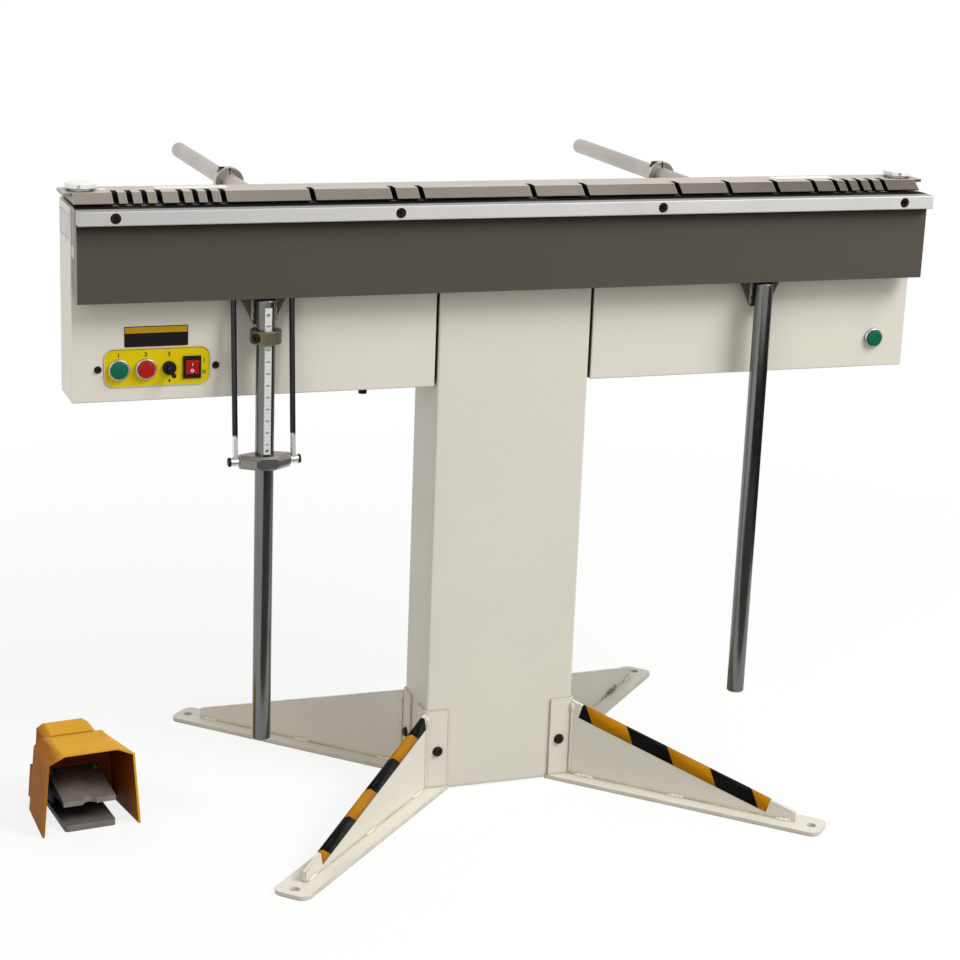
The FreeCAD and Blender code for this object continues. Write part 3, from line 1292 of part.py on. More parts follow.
def make_gland():
    """The cable gland under the left cover."""
    x, y = gland_x, gland_y
    collar = rod("z", (x, y, cover_low - 4), 4, d.gland_radius)
    nose = cone("z", (x, y, cover_low - d.gland_long), d.gland_long - 4, d.gland_radius - 1.2,
                d.gland_radius - 0.5)
    thread = rod("z", (x, y, cover_low), 9, d.gland_radius - 1.8)
    bore = rod("z", (x, y, cover_low - d.gland_long - 1), d.gland_long + 12, 3.5)
    return cut(fuse(collar, nose, thread), bore)


def make_electrics():
    """Transformer, rectifier and relay on the back wall of the left cover."""
    wall_y = d.cover_front + d.cover_depth - d.cover_sheet
    floor_z = cover_low + d.cover_sheet
    wide, deep, tall = d.transformer_wide, d.transformer_deep, d.transformer_tall
    limb = wide / 6
    left = -d.cover_inner - d.transformer_inset - wide
    front = wall_y - deep
    core = box((left, front, floor_z), (wide, deep, tall))
    room = box((left + limb, front - 1, floor_z + limb), (wide - limb * 2, deep + 2, tall - limb * 2))
    leg = box((left + limb * 2, front, floor_z + limb - 1), (limb * 2, deep, tall - limb * 2 + 2))
    node("transformer_core", fuse(cut(core, room), leg))
    proud = d.transformer_coil_proud
    coil_low = (left + limb + 1, front - proud, floor_z + limb + 1)
    coil = box(coil_low, (wide - limb * 2 - 2, deep + proud, tall - limb * 2 - 2))
    leg_hole = box((left + limb * 2, front - 1, floor_z + limb), (limb * 2, deep + 2, tall - limb * 2))
    node("transformer_coil", cut(coil, leg_hole))
    rectifier_x = left - d.rectifier_gap - d.rectifier_wide
    rectifier_z = cover_low + d.rectifier_rise
    rectifier_low = (rectifier_x, wall_y - d.rectifier_deep, rectifier_z)
    rectifier = box(rectifier_low, (d.rectifier_wide, d.rectifier_deep, d.rectifier_tall))
    relay_z = rectifier_z + d.rectifier_tall + d.relay_gap
    relay = box((rectifier_x, wall_y - d.relay_deep, relay_z), (d.relay_wide, d.relay_deep, d.relay_tall))
    rail = box((rectifier_x - 5, wall_y - 6, relay_z - 5), (d.relay_wide + 10, 6, d.relay_tall + 10))
    node("control_gear", group(rectifier, fuse(relay, rail)))


# Foot switch
def guard_section(points, y):
    """One cross-section of the guard."""
    return section(symmetric(points), y)


def hood_points(shrink, rear):
    """Right-hand corners of the hood, from the floor up, less a wall."""
    low = as_size(-5) if shrink else as_size(0)
    wall = d.guard_wall if shrink else as_size(0)
    if rear:
        return [(d.guard_rear_half - wall, low),
                (d.guard_rear_brow_half - wall, d.guard_rear_brow - wall * 0.6),
                (d.guard_rear_crown_half - wall * 0.6, d.guard_rear_tall - wall)]
    return [(d.guard_floor_half - wall, low), (d.guard_brow_half - wall, d.guard_brow - wall * 0.6),
            (d.guard_crown_half - wall * 0.6, d.guard_tall - wall)]


def tail_points(shrink):
    """Right-hand corners of the tail, from the floor up, less a wall."""
    low = as_size(-5) if shrink else as_size(0)
    wall = d.guard_wall if shrink else as_size(0)
    return [(d.tail_floor_half - wall, low), (d.tail_floor_half - 3.5 - wall, d.tail_step - wall),
            (d.tail_half + 3 - wall, d.tail_step - wall), (d.tail_half - wall, d.tail_brow - wall * 0.6),
            (d.tail_crown_half - wall * 0.6, d.guard_rear_tall + 2 - wall)]


def make_guard():
    """The guard of the foot switch: a hood over the pedal and a narrower tail."""
    hood = loft(guard_section(hood_points(False, False), 0),
                guard_section(hood_points(False, True), d.guard_hood))
    tail = loft(guard_section(tail_points(False), d.guard_hood - 1),
                guard_section(tail_points(False), d.guard_long))
    inner_hood = loft(guard_section(hood_points(True, False), -0.5),
                      guard_section(hood_points(True, True), d.guard_hood - d.guard_wall))
    inner_tail = loft(guard_section(tail_points(True), d.guard_hood - d.guard_wall - 1),
                      guard_section(tail_points(True), d.guard_long - d.guard_wall))
    way_start = (0, d.guard_long - d.guard_wall - 1, d.tail_gland_z)
    gland_way = rod("y", way_start, d.guard_wall + 2, d.tail_gland + d.screw_gap)
    shell = cut(fuse(hood, tail), fuse(inner_hood, inner_tail, gland_way))
    panel = box((-d.tail_half - 2, d.guard_hood - d.guard_wall, d.brow_panel),
                (d.tail_half * 2 + 4, d.guard_wall, d.guard_rear_tall - d.brow_panel - 1))
    return fuse(shell, panel)


def make_switch_base():
    """The cast base: a floor plate, two ears for the pedal pin and a rear block."""
    long = d.guard_long - d.guard_wall - d.base_front
    plate = box((-d.base_half, d.base_front, 0), (d.base_half * 2, long, d.base_thick))
    plate = round_edges(plate, lambda edge: along(edge, "z") and edge.Vertexes[0].Y < 20, 5.0)
    pieces = [plate]
    for side in (-1, 1):
        start = d.ear_inner if side > 0 else -d.ear_inner - d.ear_thick
        ear = box((start, d.pivot_y - 10, d.base_thick - 1), (d.ear_thick, 20, d.pivot_z - d.base_thick + 1))
        top = rod("x", (start, d.pivot_y, d.pivot_z), d.ear_thick, 10)
        pieces.extend([ear, top])
    block_long = d.guard_long - d.guard_wall - d.base_block_y - 3
    pieces.append(box((-d.base_block_half, d.base_block_y + 3, d.base_thick - 1),
                      (d.base_block_half * 2, block_long, d.base_block_tall - d.base_thick + 1)))
    reach = d.ear_inner + d.ear_thick + 1
    pin_hole = rod("x", (-reach, d.pivot_y, d.pivot_z), reach * 2, d.pivot_pin + 0.05)
    screw_hole = rod("z", (0, d.base_front + 12, -1), d.base_thick + 2, 2.2)
    return cut(fuse(*pieces), pin_hole, screw_hole)


def make_pedal():
    """The pedal: a sloped tread with side skirts, hung on the pin."""
    rise = d.pivot_z - d.pedal_low
    points = (
        (d.pedal_front, d.pedal_low), (d.pedal_front, d.pedal_low + d.pedal_thick),
        (d.pedal_front + 60, d.pedal_low + d.pedal_thick + 9), (d.pivot_y - 4, d.pivot_z + d.pedal_hub - 0.5),
        (d.pivot_y - 2, d.pivot_z), (d.pedal_front + 60, d.pedal_low + 6),
    )
    tread = prism("yz", points, -d.pedal_half, d.pedal_half * 2)
    hub_trim = d.pedal_half - d.pedal_hub_half
    trims = []
    for side in (-1, 1):
        start = d.pedal_hub_half if side > 0 else -d.pedal_half - 1
        trims.append(box((start, d.pivot_y - 14, d.pedal_low - 5), (hub_trim + 1, 30, rise + 30)))
    hub = rod("x", (-d.pedal_hub_half, d.pivot_y, d.pivot_z), d.pedal_hub_half * 2, d.pedal_hub)
    skirts = []
    for side in (-1, 1):
        start = d.pedal_half - 3 if side > 0 else -d.pedal_half
        skirt_points = (
            (d.pedal_front + 12, d.pedal_low + 3), (d.pedal_front + 60, d.pedal_low + 9),
            (d.pedal_front + 72, d.pedal_low + 11), (d.pedal_front + 72, d.pedal_low - 6),
        )
        skirts.append(prism("yz", skirt_points, start, 3))
    body = fuse(cut(tread, *trims), hub, *skirts)
    pin_hole = rod("x", (-d.pedal_half - 1, d.pivot_y, d.pivot_z), d.pedal_half * 2 + 2,
                   d.pivot_pin + d.running_gap)
    notch = rod("z", (0, d.pedal_front - 4, d.pedal_low - 2), d.pedal_thick + 6, d.pedal_notch)
    return cut(body, pin_hole, notch)


def on_floor(thing):
    """Put a piece of the foot switch in its place on the floor, turned a little."""
    turn = FreeCAD.Rotation(FreeCAD.Vector(0, 0, 1), d.pedal_turn.value)
    place(thing, (d.pedal_x, d.pedal_y, 0), turn)
    thing.setExpression("Placement.Rotation.Angle", "dims.pedal_turn * 1 deg")
    return thing


def make_foot_switch():
    """The foot switch: base, pedal, pin and guard, turned a little on the floor."""
    node("foot_guard", on_floor(make_guard()))
    node("foot_switch_base", on_floor(make_switch_base()))
    node("foot_pedal", on_floor(make_pedal()))
    reach = d.ear_inner + d.ear_thick
    pin = rod("x", (-reach, d.pivot_y, d.pivot_z), reach * 2, d.pivot_pin)
    node("foot_pedal_pin", on_floor(group(pin)))
    low = (-d.snap_wide / 2, d.base_block_y + 8, d.base_block_tall)
    body = box(low, (d.snap_wide, d.snap_deep, d.snap_tall))
    plunger = rod("y", (0, d.base_block_y + 4, d.base_block_tall + d.snap_tall / 2), 5, 2.5)
    node("foot_switch_block", on_floor(fuse(body, plunger)))
    z = d.tail_gland_z
    stem = rod("y", (0, d.guard_long - d.guard_wall, z), d.guard_wall + 10, d.tail_gland)
    collar = rod("y", (0, d.guard_long, z), 6, d.tail_gland * 1.5)
    bore = rod("y", (0, d.guard_long - d.guard_wall - 1, z), 20, d.tail_gland / 2)
    node("cable_glands", group(make_gland(), on_floor(cut(fuse(stem, collar), bore))))


def check_and_export():
    """Check every object and every sub-part, then write the sub-parts."""
    doc.recompute()
    for thing in doc.Objects:
        if "Invalid" in thing.State or "Error" in thing.State:
            raise RuntimeError("%s (%s) failed: %s" % (thing.Name, thing.Label, thing.State))
    for name, thing in nodes.items():
        shape = thing.Shape
        if shape.isNull() or not shape.isValid() or not shape.Solids:
            raise RuntimeError("sub-part %s has no sound shape" % name)
    os.makedirs("parts", exist_ok=True)
    for name, thing in nodes.items():
        thing.Shape.exportStep("parts/%s.step" % name)
    print("%d sub-parts" % len(nodes))


make_magnet()
make_coil()
make_sectors()
make_beam()
make_extension_bar()
node("handle_plates", group(make_handle("left", -1), make_handle("right", 1)))
make_scale()
make_slider()
make_stop_collar()
make_gauge_rods()
make_gauge_bracket()
make_clamping_bar()
make_adjusters()
make_backstop()
make_column()
make_feet()
make_covers()
make_panel()
make_buttons()
make_toggle()
make_rocker()
make_electrics()
make_foot_switch()
check_and_export()
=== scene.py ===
"""Finishes, small parts and the studio of a magnetic sheet metal brake.

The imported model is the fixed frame: its solids stay where they are and take their finishes here.
Small parts that the solids leave out are built on them: tape, plates, marks, welds and screws.
"""

import json
import math

import bmesh
import bpy
from bpy.props import FloatProperty, FloatVectorProperty, IntProperty, PointerProperty
from mathutils import Matrix, Vector
from mathutils.bvhtree import BVHTree


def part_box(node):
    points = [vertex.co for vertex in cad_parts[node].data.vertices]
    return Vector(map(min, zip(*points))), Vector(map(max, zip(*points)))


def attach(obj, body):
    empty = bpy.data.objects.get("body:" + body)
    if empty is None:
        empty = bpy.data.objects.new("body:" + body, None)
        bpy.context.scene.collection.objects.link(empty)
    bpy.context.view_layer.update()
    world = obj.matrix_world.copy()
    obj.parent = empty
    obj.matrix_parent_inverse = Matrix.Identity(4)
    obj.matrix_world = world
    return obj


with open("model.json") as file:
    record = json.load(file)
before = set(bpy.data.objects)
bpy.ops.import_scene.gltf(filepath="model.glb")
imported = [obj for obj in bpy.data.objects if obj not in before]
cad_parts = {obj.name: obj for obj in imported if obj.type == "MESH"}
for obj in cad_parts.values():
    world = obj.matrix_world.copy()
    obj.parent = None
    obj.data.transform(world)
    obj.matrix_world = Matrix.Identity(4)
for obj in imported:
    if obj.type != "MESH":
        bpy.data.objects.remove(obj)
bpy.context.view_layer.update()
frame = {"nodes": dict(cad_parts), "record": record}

bl_info = {
    "name": "Magnetic sheet metal brake",
    "version": (1, 0, 0),
    "blender": (4, 5, 0),
    "location": "3D View > Sidebar > Brake",
    "description": "Finishes, small parts and studio of a magnetic sheet metal brake",
    "category": "Object",
}

LEFT, RIGHT = -1, 1
FRONT, BACK, UP = (0, -1, 0), (0, 1, 0), (0, 0, 1)

INK = 0.00006           # thickness of printed figures and marks
FILM = 0.00005          # thickness of printed lines and bands
HALF_SOFT = 0.4         # where a spot's edge stops fading, as a share of its reach
FINE = 0.0003           # bevels of small turned and moulded parts
SMALL = 0.0005
# First a painted black shadow for the gap under the clamping bar and the clamp's underside, then painted shade inside
# the foot guard, rust and worn black.
GAP_SHADOW, INSIDE_SHADE, RUST, WORN_BLACK = "040303", "662404", "2E2118", "5A5148"

# The feet: side in X and in Y, and the rib that stands on each foot's strip
FEET = {
    "foot_front_left": (LEFT, LEFT),
    "foot_front_right": (RIGHT, LEFT),
    "foot_rear_left": (LEFT, RIGHT),
    "foot_rear_right": (RIGHT, RIGHT),
}
RIB_HALF, RIB_START, RIB_END = 0.003, 0.0006, 0.3737
RIB_TALL, RIB_TOE = 0.128, 0.0215
STRIP_TOP = 0.006
STITCHES = ((0.012, 0.046), (0.168, 0.196), (0.342, 0.368))

# Places along the crest of the ribs where the tape changes colour, starting with black
TAPE_MARKS = {
    "foot_front_left": (0.012, 0.0556, 0.1142, 0.1877, 0.2515, 0.3269, 0.3315),
    "foot_front_right": (0.0214, 0.0262, 0.0946, 0.1627, 0.2331, 0.3019, 0.3334),
}

# The rust streak on the rear right foot: steps along it in centimetres, and how far each spot reaches
STREAK = ((2.4, 0.004), (3.3, 0.006), (4.1, 0.0085), (4.9, 0.0095), (5.7, 0.0085), (6.4, 0.005))

# Turned profiles: radius and height
PANEL_SCREW = ((0.0042, -0.0002), (0.0042, 0.0008), (0.0034, 0.0018), (0.0018, 0.0023))
SCALE_SCREW = ((0.0021, -0.0001), (0.0021, 0.0007), (0.0016, 0.0013), (0.0007, 0.0015))
RIVET = ((0.0014, 0.0), (0.0014, 0.0007), (0.001, 0.00105), (0.0004, 0.0012))

# Bare plates and stickers: where they sit, and how wide and tall they are
END_PLATE_AT, END_PLATE = (-0.0125, 0.886), (0.073, 0.038)              # Y and Z on the left end of the covers
COVER_PLATE_AT, COVER_PLATE = (-0.53365, 0.7315), (0.0897, 0.029)       # X and Z over the control panel
STRIPS_AT, STRIP = ((-0.4775, -0.0145), (0.4700, -0.0145)), (0.102, 0.021)      # X and Y on the clamping bar
DOT_AT, DOT_RADIUS = (-0.6035, -0.0215), 0.0068

# Plain figures and marks beside the rocker, and the heights of those at the buttons and the toggle
ROCKER_MARKS = ((-0.4662, 0.6945, "I", 0.0048), (-0.4662, 0.6780, "O", 0.0048))
OVER_BUTTONS, OVER_TOGGLE, UNDER_TOGGLE = 0.7060, 0.7055, 0.6675

PEDAL_MIDDLE, PEDAL_TURN = (-0.6315, -0.060, 0.0), math.radians(6)

# The studio: the floor, then the lamps and the cards by name
FLOOR_RADIUS, FLOOR_DROP = 60, 0.0004
SHADOW_NEAR, SHADOW_FAR = 0.9, 2.6      # between these distances the floor turns plain white
LAMPS = {
    "key_lamp": ((2.9, -2.9, 4.4), 2.8, 230.0),
    "fill_lamp": ((-3.0, -2.8, 2.2), 2.4, 22.0),
}
LAMPS_AIM = (0, 0, 0.6)
CARDS = {
    "card_right": ((1.35, -1.6, 0.02), (1.35, 1.2, 0.02), (1.35, 1.2, 0.62), (1.35, -1.6, 0.62)),
    "card_front": ((-1.0, -1.6, 0.02), (1.9, -1.6, 0.02), (1.9, -1.6, 0.38), (-1.0, -1.6, 0.38)),
    "card_floor": ((-1.0, -1.6, 0.01), (1.9, -1.6, 0.01), (1.9, -0.55, 0.01), (-0.75, -0.55, 0.01)),
}
CAMERA_AT, CAMERA_LENS, CAMERA_SENSOR = (-1.1707, -3.0708, 1.4132), 84.375, 36.0
CAMERA_DOWN, CAMERA_RIGHT, CAMERA_ROLL = 0.278, 0.3564, 0.039           # radians


def linear(code):
    """A colour as the shaders take it, from a six-figure colour code."""
    parts = [int(code[at:at + 2], 16) / 255 for at in (0, 2, 4)]
    return tuple(part / 12.92 if part <= 0.04045 else ((part + 0.055) / 1.055) ** 2.4 for part in parts)


def shade(tone, light):
    """The same tone, lighter or darker."""
    return tuple(min(1.0, part * light) for part in tone)


def colour(title, code, words):
    """A colour that a user may change."""
    return FloatVectorProperty(name=title, description=words, subtype="COLOR", size=3, min=0.0, max=1.0,
                               default=linear(code))


def length(title, value, words):
    """A length in metres that a user may change."""
    return FloatProperty(name=title, description=words, default=value, min=0.0, precision=5,
                         unit="LENGTH", subtype="DISTANCE")


def share(title, value, words, most=1.0):
    """A share, or a strength as a share of the usual one, that a user may change."""
    return FloatProperty(name=title, description=words, default=value, min=0.0, max=most, subtype="FACTOR")


class BrakeColours(bpy.types.PropertyGroup):
    """Colours of the paints, metals and plastics."""

    sheet: colour("Sheet paint", "E4E0D2", "Cream powder coat of the column, covers and feet")
    soil: colour("Soil", "8A7B62", "Dust and rust that gathers in corners and on worn edges")
    beam: colour("Beam", "5B564D", "Brown-grey face of the bending beam")
    bar: colour("Extension bar", "DCDBD8", "Bright satin steel of the extension bar")
    clamp: colour("Clamping bar", "867F76", "Ground steel of the clamping bar")
    pole: colour("Poles", "9C9A95", "Ground steel of the magnet")
    tube: colour("Handles", "7B7B7A", "Bright steel tube of the handles")
    rod: colour("Gauge rods", "3B3C3E", "Dark drawn steel of the gauge rods")
    slider: colour("Slider", "8B8883", "Worked steel of the slider")
    collar: colour("Stop collar", "6F6956", "Olive-brown passivated steel of the stop collar")
    chrome: colour("Knobs", "F6F6F4", "Plated adjuster knobs and balls")
    satin: colour("Backstop", "B9B4AC", "Pale satin steel of the backstop rods and collars")
    blacked: colour("Blacked screws", "100C09", "Blacked screws and bolts")
    scale: colour("Scale", "DCDDDB", "White enamel of the angle scale")
    yellow: colour("Control panel", "DFC60A", "Printed yellow of the control panel")
    green: colour("Start buttons", "08694C", "Green of the start buttons")
    red: colour("Stop button", "B01A17", "Red of the stop button and the rocker")
    amber: colour("Amber tape", "B87C08", "Amber bands of the hazard tape")
    black_tape: colour("Black tape", "080808", "Black bands of the hazard tape")
    orange: colour("Guard", "E3A830", "Orange enamel of the foot guard")
    pedal: colour("Pedal", "86807A", "Grey-brown paint of the pedal and its base")
    black: colour("Black plastic", "141414", "Switch frames, glands and terminals")
    label: colour("Bare plates", "F3F2EE", "Bare plates and stickers")
    wire: colour("Winding", "8A4A20", "Enamelled copper wire")


class BrakeSizes(bpy.types.PropertyGroup):
    """Sizes of the small parts that are made here, with the wear and the light."""

    edge: length("Edge break", 0.0006, "How far sharp machined edges are broken")
    sheet_edge: length("Sheet edge", 0.0004, "How far edges of painted sheet are softened")
    tape_drop: length("Tape on the side", 0.0215, "How far the hazard tape reaches down each side of a rib")
    tape_thick: length("Tape thickness", 0.00025, "Thickness of the hazard tape")
    tape_lean: FloatProperty(name="Tape lean", description="Slant of the tape bands", default=math.radians(38),
                             unit="ROTATION", subtype="ANGLE")
    weld: length("Weld bead", 0.0034, "Radius of the weld beads")
    figure: length("Scale figures", 0.0027, "Height of the figures on the angle scale")
    tick: length("Scale marks", 0.0004, "Width of the marks on the angle scale")
    rib_pitch: length("Pedal ribs", 0.0044, "Distance between the ribs of the pedal")
    plate: length("Plate thickness", 0.0005, "Thickness of the bare plate on the left end")
    scale_step: IntProperty(name="Scale step", description="Degrees between two figures of the scale", default=15,
                            min=5, max=45)
    wear: share("Wear", 0.35, "How much the edges of the paint show their use")
    daylight: share("Soft light", 0.55, "Light that comes from all round", 2.0)
    lamp: share("Lamps", 1.0, "Strength of the studio lamps", 4.0)


def colours():
    """The colours in use."""
    return bpy.context.scene.brake_colours


def sizes():
    """The sizes in use."""
    return bpy.context.scene.brake_sizes


class Tree:
    """The nodes of a material or a world, made by plain calls."""

    def __init__(self, holder, empty=True):
        holder.use_nodes = True
        self.tree = holder.node_tree
        if empty:
            self.tree.nodes.clear()

    def feed(self, socket, value):
        """Link a node's outlet to a socket, or set the socket to a plain value."""
        if isinstance(value, bpy.types.NodeSocket):
            self.tree.links.new(value, socket)
        elif hasattr(value, "__len__") and len(socket.default_value) == 4:
            socket.default_value = (*tuple(value)[:3], 1.0)
        else:
            socket.default_value = value

    def node(self, kind, outlet, inlets=None, **settings):
        """A new node with its settings and inlets, and the outlet asked for."""
        made = self.tree.nodes.new(kind)
        for name, value in settings.items():
            setattr(made, name, value)
        for name, value in (inlets or {}).items():
            self.feed(made.inputs[name], value)
        return made.outputs[outlet] if outlet is not None else made

    def maths(self, operation, first, second=0.0):
        """One or two values worked together."""
        return self.node("ShaderNodeMath", 0, {0: first, 1: second}, operation=operation)

    def times(self, first, second):
        """Two values multiplied."""
        return self.maths("MULTIPLY", first, second)

    def span(self, value, low, high, first=0.0, last=1.0, **settings):
        """A value spread from one range over another, and held at its ends."""
        inlets = {"Value": value, "From Min": low, "From Max": high, "To Min": first, "To Max": last}
        return self.node("ShaderNodeMapRange", 0, inlets, **settings)

    def tint(self, amount, first, second):
        """The first colour, turning to the second as the amount grows."""
        return self.node("ShaderNodeMix", 2, {0: amount, 6: first, 7: second}, data_type="RGBA")

    def shown(self):
        """One for rays that show the background, in the picture or in metal and glass."""
        most = self.node("ShaderNodeLightPath", "Is Camera Ray")
        for way in ("Is Glossy Ray", "Is Transmission Ray"):
            most = self.maths("MAXIMUM", most, self.node("ShaderNodeLightPath", way))
        return most

    def end(self, kind, amount, lit, white):
        """Close the tree: the lit shader, turning to the white one as the amount grows."""
        mixed = self.node("ShaderNodeMixShader", 0, {"Fac": amount, 1: lit, 2: white})
        self.node(kind, None, {"Surface": mixed})


class Finish(Tree):
    """The node tree of one finish, with the colour that has been laid up so far."""

    def __init__(self, name, tone, metal=0.0):
        self.material = bpy.data.materials.new(name)
        super().__init__(self.material, empty=False)
        self.shader = self.tree.nodes["Principled BSDF"]
        self.shader.inputs["Metallic"].default_value = metal
        self.place = self.node("ShaderNodeTexCoord", "Object")
        self.tone = self.base = linear(tone) if isinstance(tone, str) else tuple(tone)

    def grid(self, grain, stretch=(1, 1, 1)):
        """Places counted in grains, longer along the axes that are stretched."""
        scale = tuple(1 / (grain * part) for part in stretch)
        return self.node("ShaderNodeMapping", "Vector", {"Vector": self.place, "Scale": scale})

    def noise(self, grain, stretch=(1, 1, 1), detail=3.0, rough=0.55):
        """Soft noise whose cells are one grain wide."""
        return self.node("ShaderNodeTexNoise", 0, {
            "Vector": self.grid(grain, stretch), "Scale": 1.0, "Detail": detail, "Roughness": rough})

    def cells(self, grain):
        """Distance from the nearest of many scattered points."""
        return self.node("ShaderNodeTexVoronoi", "Distance", {"Vector": self.grid(grain), "Scale": 1.0})

    def bands(self, pitch, axis):
        """Even bands across an axis, such as turns of wire or a stack of sheets."""
        inlets = {"Vector": self.place, "Scale": 0.314 / pitch, "Distortion": 0.3}
        return self.node("ShaderNodeTexWave", "Fac", inlets, bands_direction=axis)

    def along(self, axis, start, end, most=1.0):
        """Nothing before one place along an axis of the model, and the most after the other."""
        return self.span(self.node("ShaderNodeSeparateXYZ", axis, {0: self.place}), start, end, 0.0, most)

    def edges(self, width, most=1.0):
        """The most along the outer edges of the shape and nothing on its faces."""
        eased = self.node("ShaderNodeBevel", "Normal", {"Radius": width}, samples=4)
        flat = self.node("ShaderNodeNewGeometry", "Normal")
        turn = self.node("ShaderNodeVectorMath", "Value", {0: eased, 1: flat}, operation="DOT_PRODUCT")
        return self.span(turn, 0.995, 0.86, 0.0, most)

    def corners(self, reach, open_share=0.85, closed_share=0.3, most=1.0, own=False):
        """The most in inner corners and joints and nothing on open faces."""
        air = self.node("ShaderNodeAmbientOcclusion", "AO", {"Distance": reach}, samples=4, only_local=own)
        return self.span(air, open_share, closed_share, 0.0, most)

    def near(self, centre, reach):
        """One at a place on the model, falling to nothing at some distance."""
        away = self.node("ShaderNodeVectorMath", "Value", {0: self.place, 1: centre}, operation="DISTANCE")
        return self.span(away, reach, reach * HALF_SOFT)

    def over(self, value, tone, low=None, high=None, most=1.0):
        """Lay a tone over the colour so far: a share of the finish's own tone, a colour code or a colour."""
        if low is not None:
            value = self.span(value, low, high, 0.0, most)
        if isinstance(tone, float):
            tone = shade(self.tone, tone)
        self.base = self.tint(value, self.base, linear(tone) if isinstance(tone, str) else tone)

    def grain(self, value, dark, light, low=0.3, high=0.7):
        """Start the colour from a dark and a light share of the tone."""
        self.base = shade(self.tone, dark)
        self.over(value, light, low, high)

    def relief(self, height, depth, over=None):
        """Bumps of a given depth in metres, laid over earlier ones."""
        inlets = {"Height": height, "Distance": depth, "Strength": 1.0}
        return self.node("ShaderNodeBump", "Normal", inlets if over is None else {**inlets, "Normal": over})

    def done(self, by, least, most, normal, low=0.3, high=0.7, **fixed):
        """Feed the shader, whose roughness follows a value, and hand over the material."""
        self.feed(self.shader.inputs["Base Color"], self.base)
        self.feed(self.shader.inputs["Roughness"], self.span(by, low, high, least, most))
        self.feed(self.shader.inputs["Normal"], normal)
        for name, value in fixed.items():
            self.shader.inputs[name.replace("_", " ")].default_value = value
        return self.material


MADE = {}


def kept(make):
    """Make each finish once and hand out the same one afterwards."""
    def hand_out(name, *given, **named):
        if name not in MADE:
            MADE[name] = make(name, *given, **named)
        return MADE[name]
    return hand_out


@kept
def powder_coat(name, tone, soil_share=0.5, edge_soil=0.15, chips=0.0, painted_light_end=None, streaks=(), painted_gap_shade=False):
    """Cream powder coat: orange peel, slow drift of tone, soil with painted shade in corners, soil on worn edges,
    painted near-black shade in gaps and a painted lighter end face.
    """
    made = Finish(name, tone)
    mottle = made.noise(0.011, detail=5.0)
    smear = made.noise(0.05, (1, 1, 2.4), 6.0, 0.65)
    soil = colours().soil
    made.over(made.noise(0.28, detail=2.0), 0.965, 0.35, 0.65)
    made.over(mottle, 0.94, 0.4, 0.75, 0.35)
    # Soil with painted shade: the soil colour laid where inner corners are occluded.
    made.over(made.times(made.corners(0.008), made.span(smear, 0.3, 0.6, 0.4 * soil_share, soil_share)), soil)
    # Painted shade: near black in the gaps between parts, where the corners are occluded.
    if painted_gap_shade:
        made.over(made.corners(0.016, 0.42, 0.24), "0D0B08")
    on_edge = made.span(smear, 0.42, 0.58, 0.1 * edge_soil, edge_soil + sizes().wear * 0.2)
    made.over(made.times(made.edges(0.0024), on_edge), shade(soil, 0.8))
    chip = made.span(made.noise(0.009, detail=7.0, rough=0.75), 0.66, 0.7, 0.0, chips)
    made.over(made.times(chip, made.span(smear, 0.5, 0.62)), "5B4630")
    # Painted light: the end face lighter, as if lit from the left.
    if painted_light_end is not None:
        made.over(made.along("X", painted_light_end + 0.0018, painted_light_end + 0.0010), 1.3)
    scratch = made.span(made.noise(0.006, detail=6.0, rough=0.7), 0.44, 0.5)
    for centre, reach in streaks:
        made.over(made.times(made.near(centre, reach), scratch), RUST)
    peel = made.relief(made.noise(0.0016, detail=1.0), 0.00006)
    return made.done(smear, 0.36, 0.52, made.relief(mottle, 0.00008, peel), Coat_Weight=0.12, Coat_Roughness=0.3)


@kept
def worked_steel(name, tone, rough=0.34, along=(40, 1, 1), depth=0.00001, stain=0.35, painted_edge_light=1.35, metal=1.0,
                 corner_shade_and_grime=0.0, painted_shading=(), gap_shadow_at=None, gloss=0.5):
    """Ground, drawn or plated steel: marks along one axis, stains, painted highlight on edges, painted shading along
    axes, painted black shadow along the front of the top and painted shade with grime in corners.
    """
    made = Finish(name, tone, metal)
    marks = made.noise(0.00035, along, 4.0, 0.7)
    cloud = made.noise(0.09, tuple(1 + part * 0.02 for part in along), 4.0)
    made.grain(marks, 0.86, 1.08)
    made.over(cloud, 0.62, 0.42, 0.7, stain)
    made.over(made.cells(0.014), colours().soil, 0.05, 0.0, stain)
    # Painted highlight on the edges, by the share of the tone given for them.
    made.over(made.edges(0.0012, 0.8), painted_edge_light)
    # Painted shading: lighter or darker towards places along the axes.
    for axis, start, end, light in painted_shading:
        made.over(made.along(axis, start, end), light)
    # Painted black shadow along the front of the top, in the gap under the clamping bar.
    if gap_shadow_at is not None:
        fold, top = gap_shadow_at
        front = made.along("Y", fold + 0.0075, fold + 0.0055)
        made.over(made.times(front, made.along("Z", top - 0.0006, top - 0.0002)), GAP_SHADOW)
    # Painted shade with grime: near black where inner corners and slits are occluded.
    if corner_shade_and_grime:
        made.over(made.corners(0.004, 0.5, 0.25, corner_shade_and_grime), "0C0A08")
    worn = made.times(marks, made.span(cloud, 0.3, 0.7, 0.8, 1.25))
    return made.done(worn, rough - 0.08, rough + 0.16, made.relief(marks, depth), 0.25, 0.75,
                     Specular_IOR_Level=gloss)


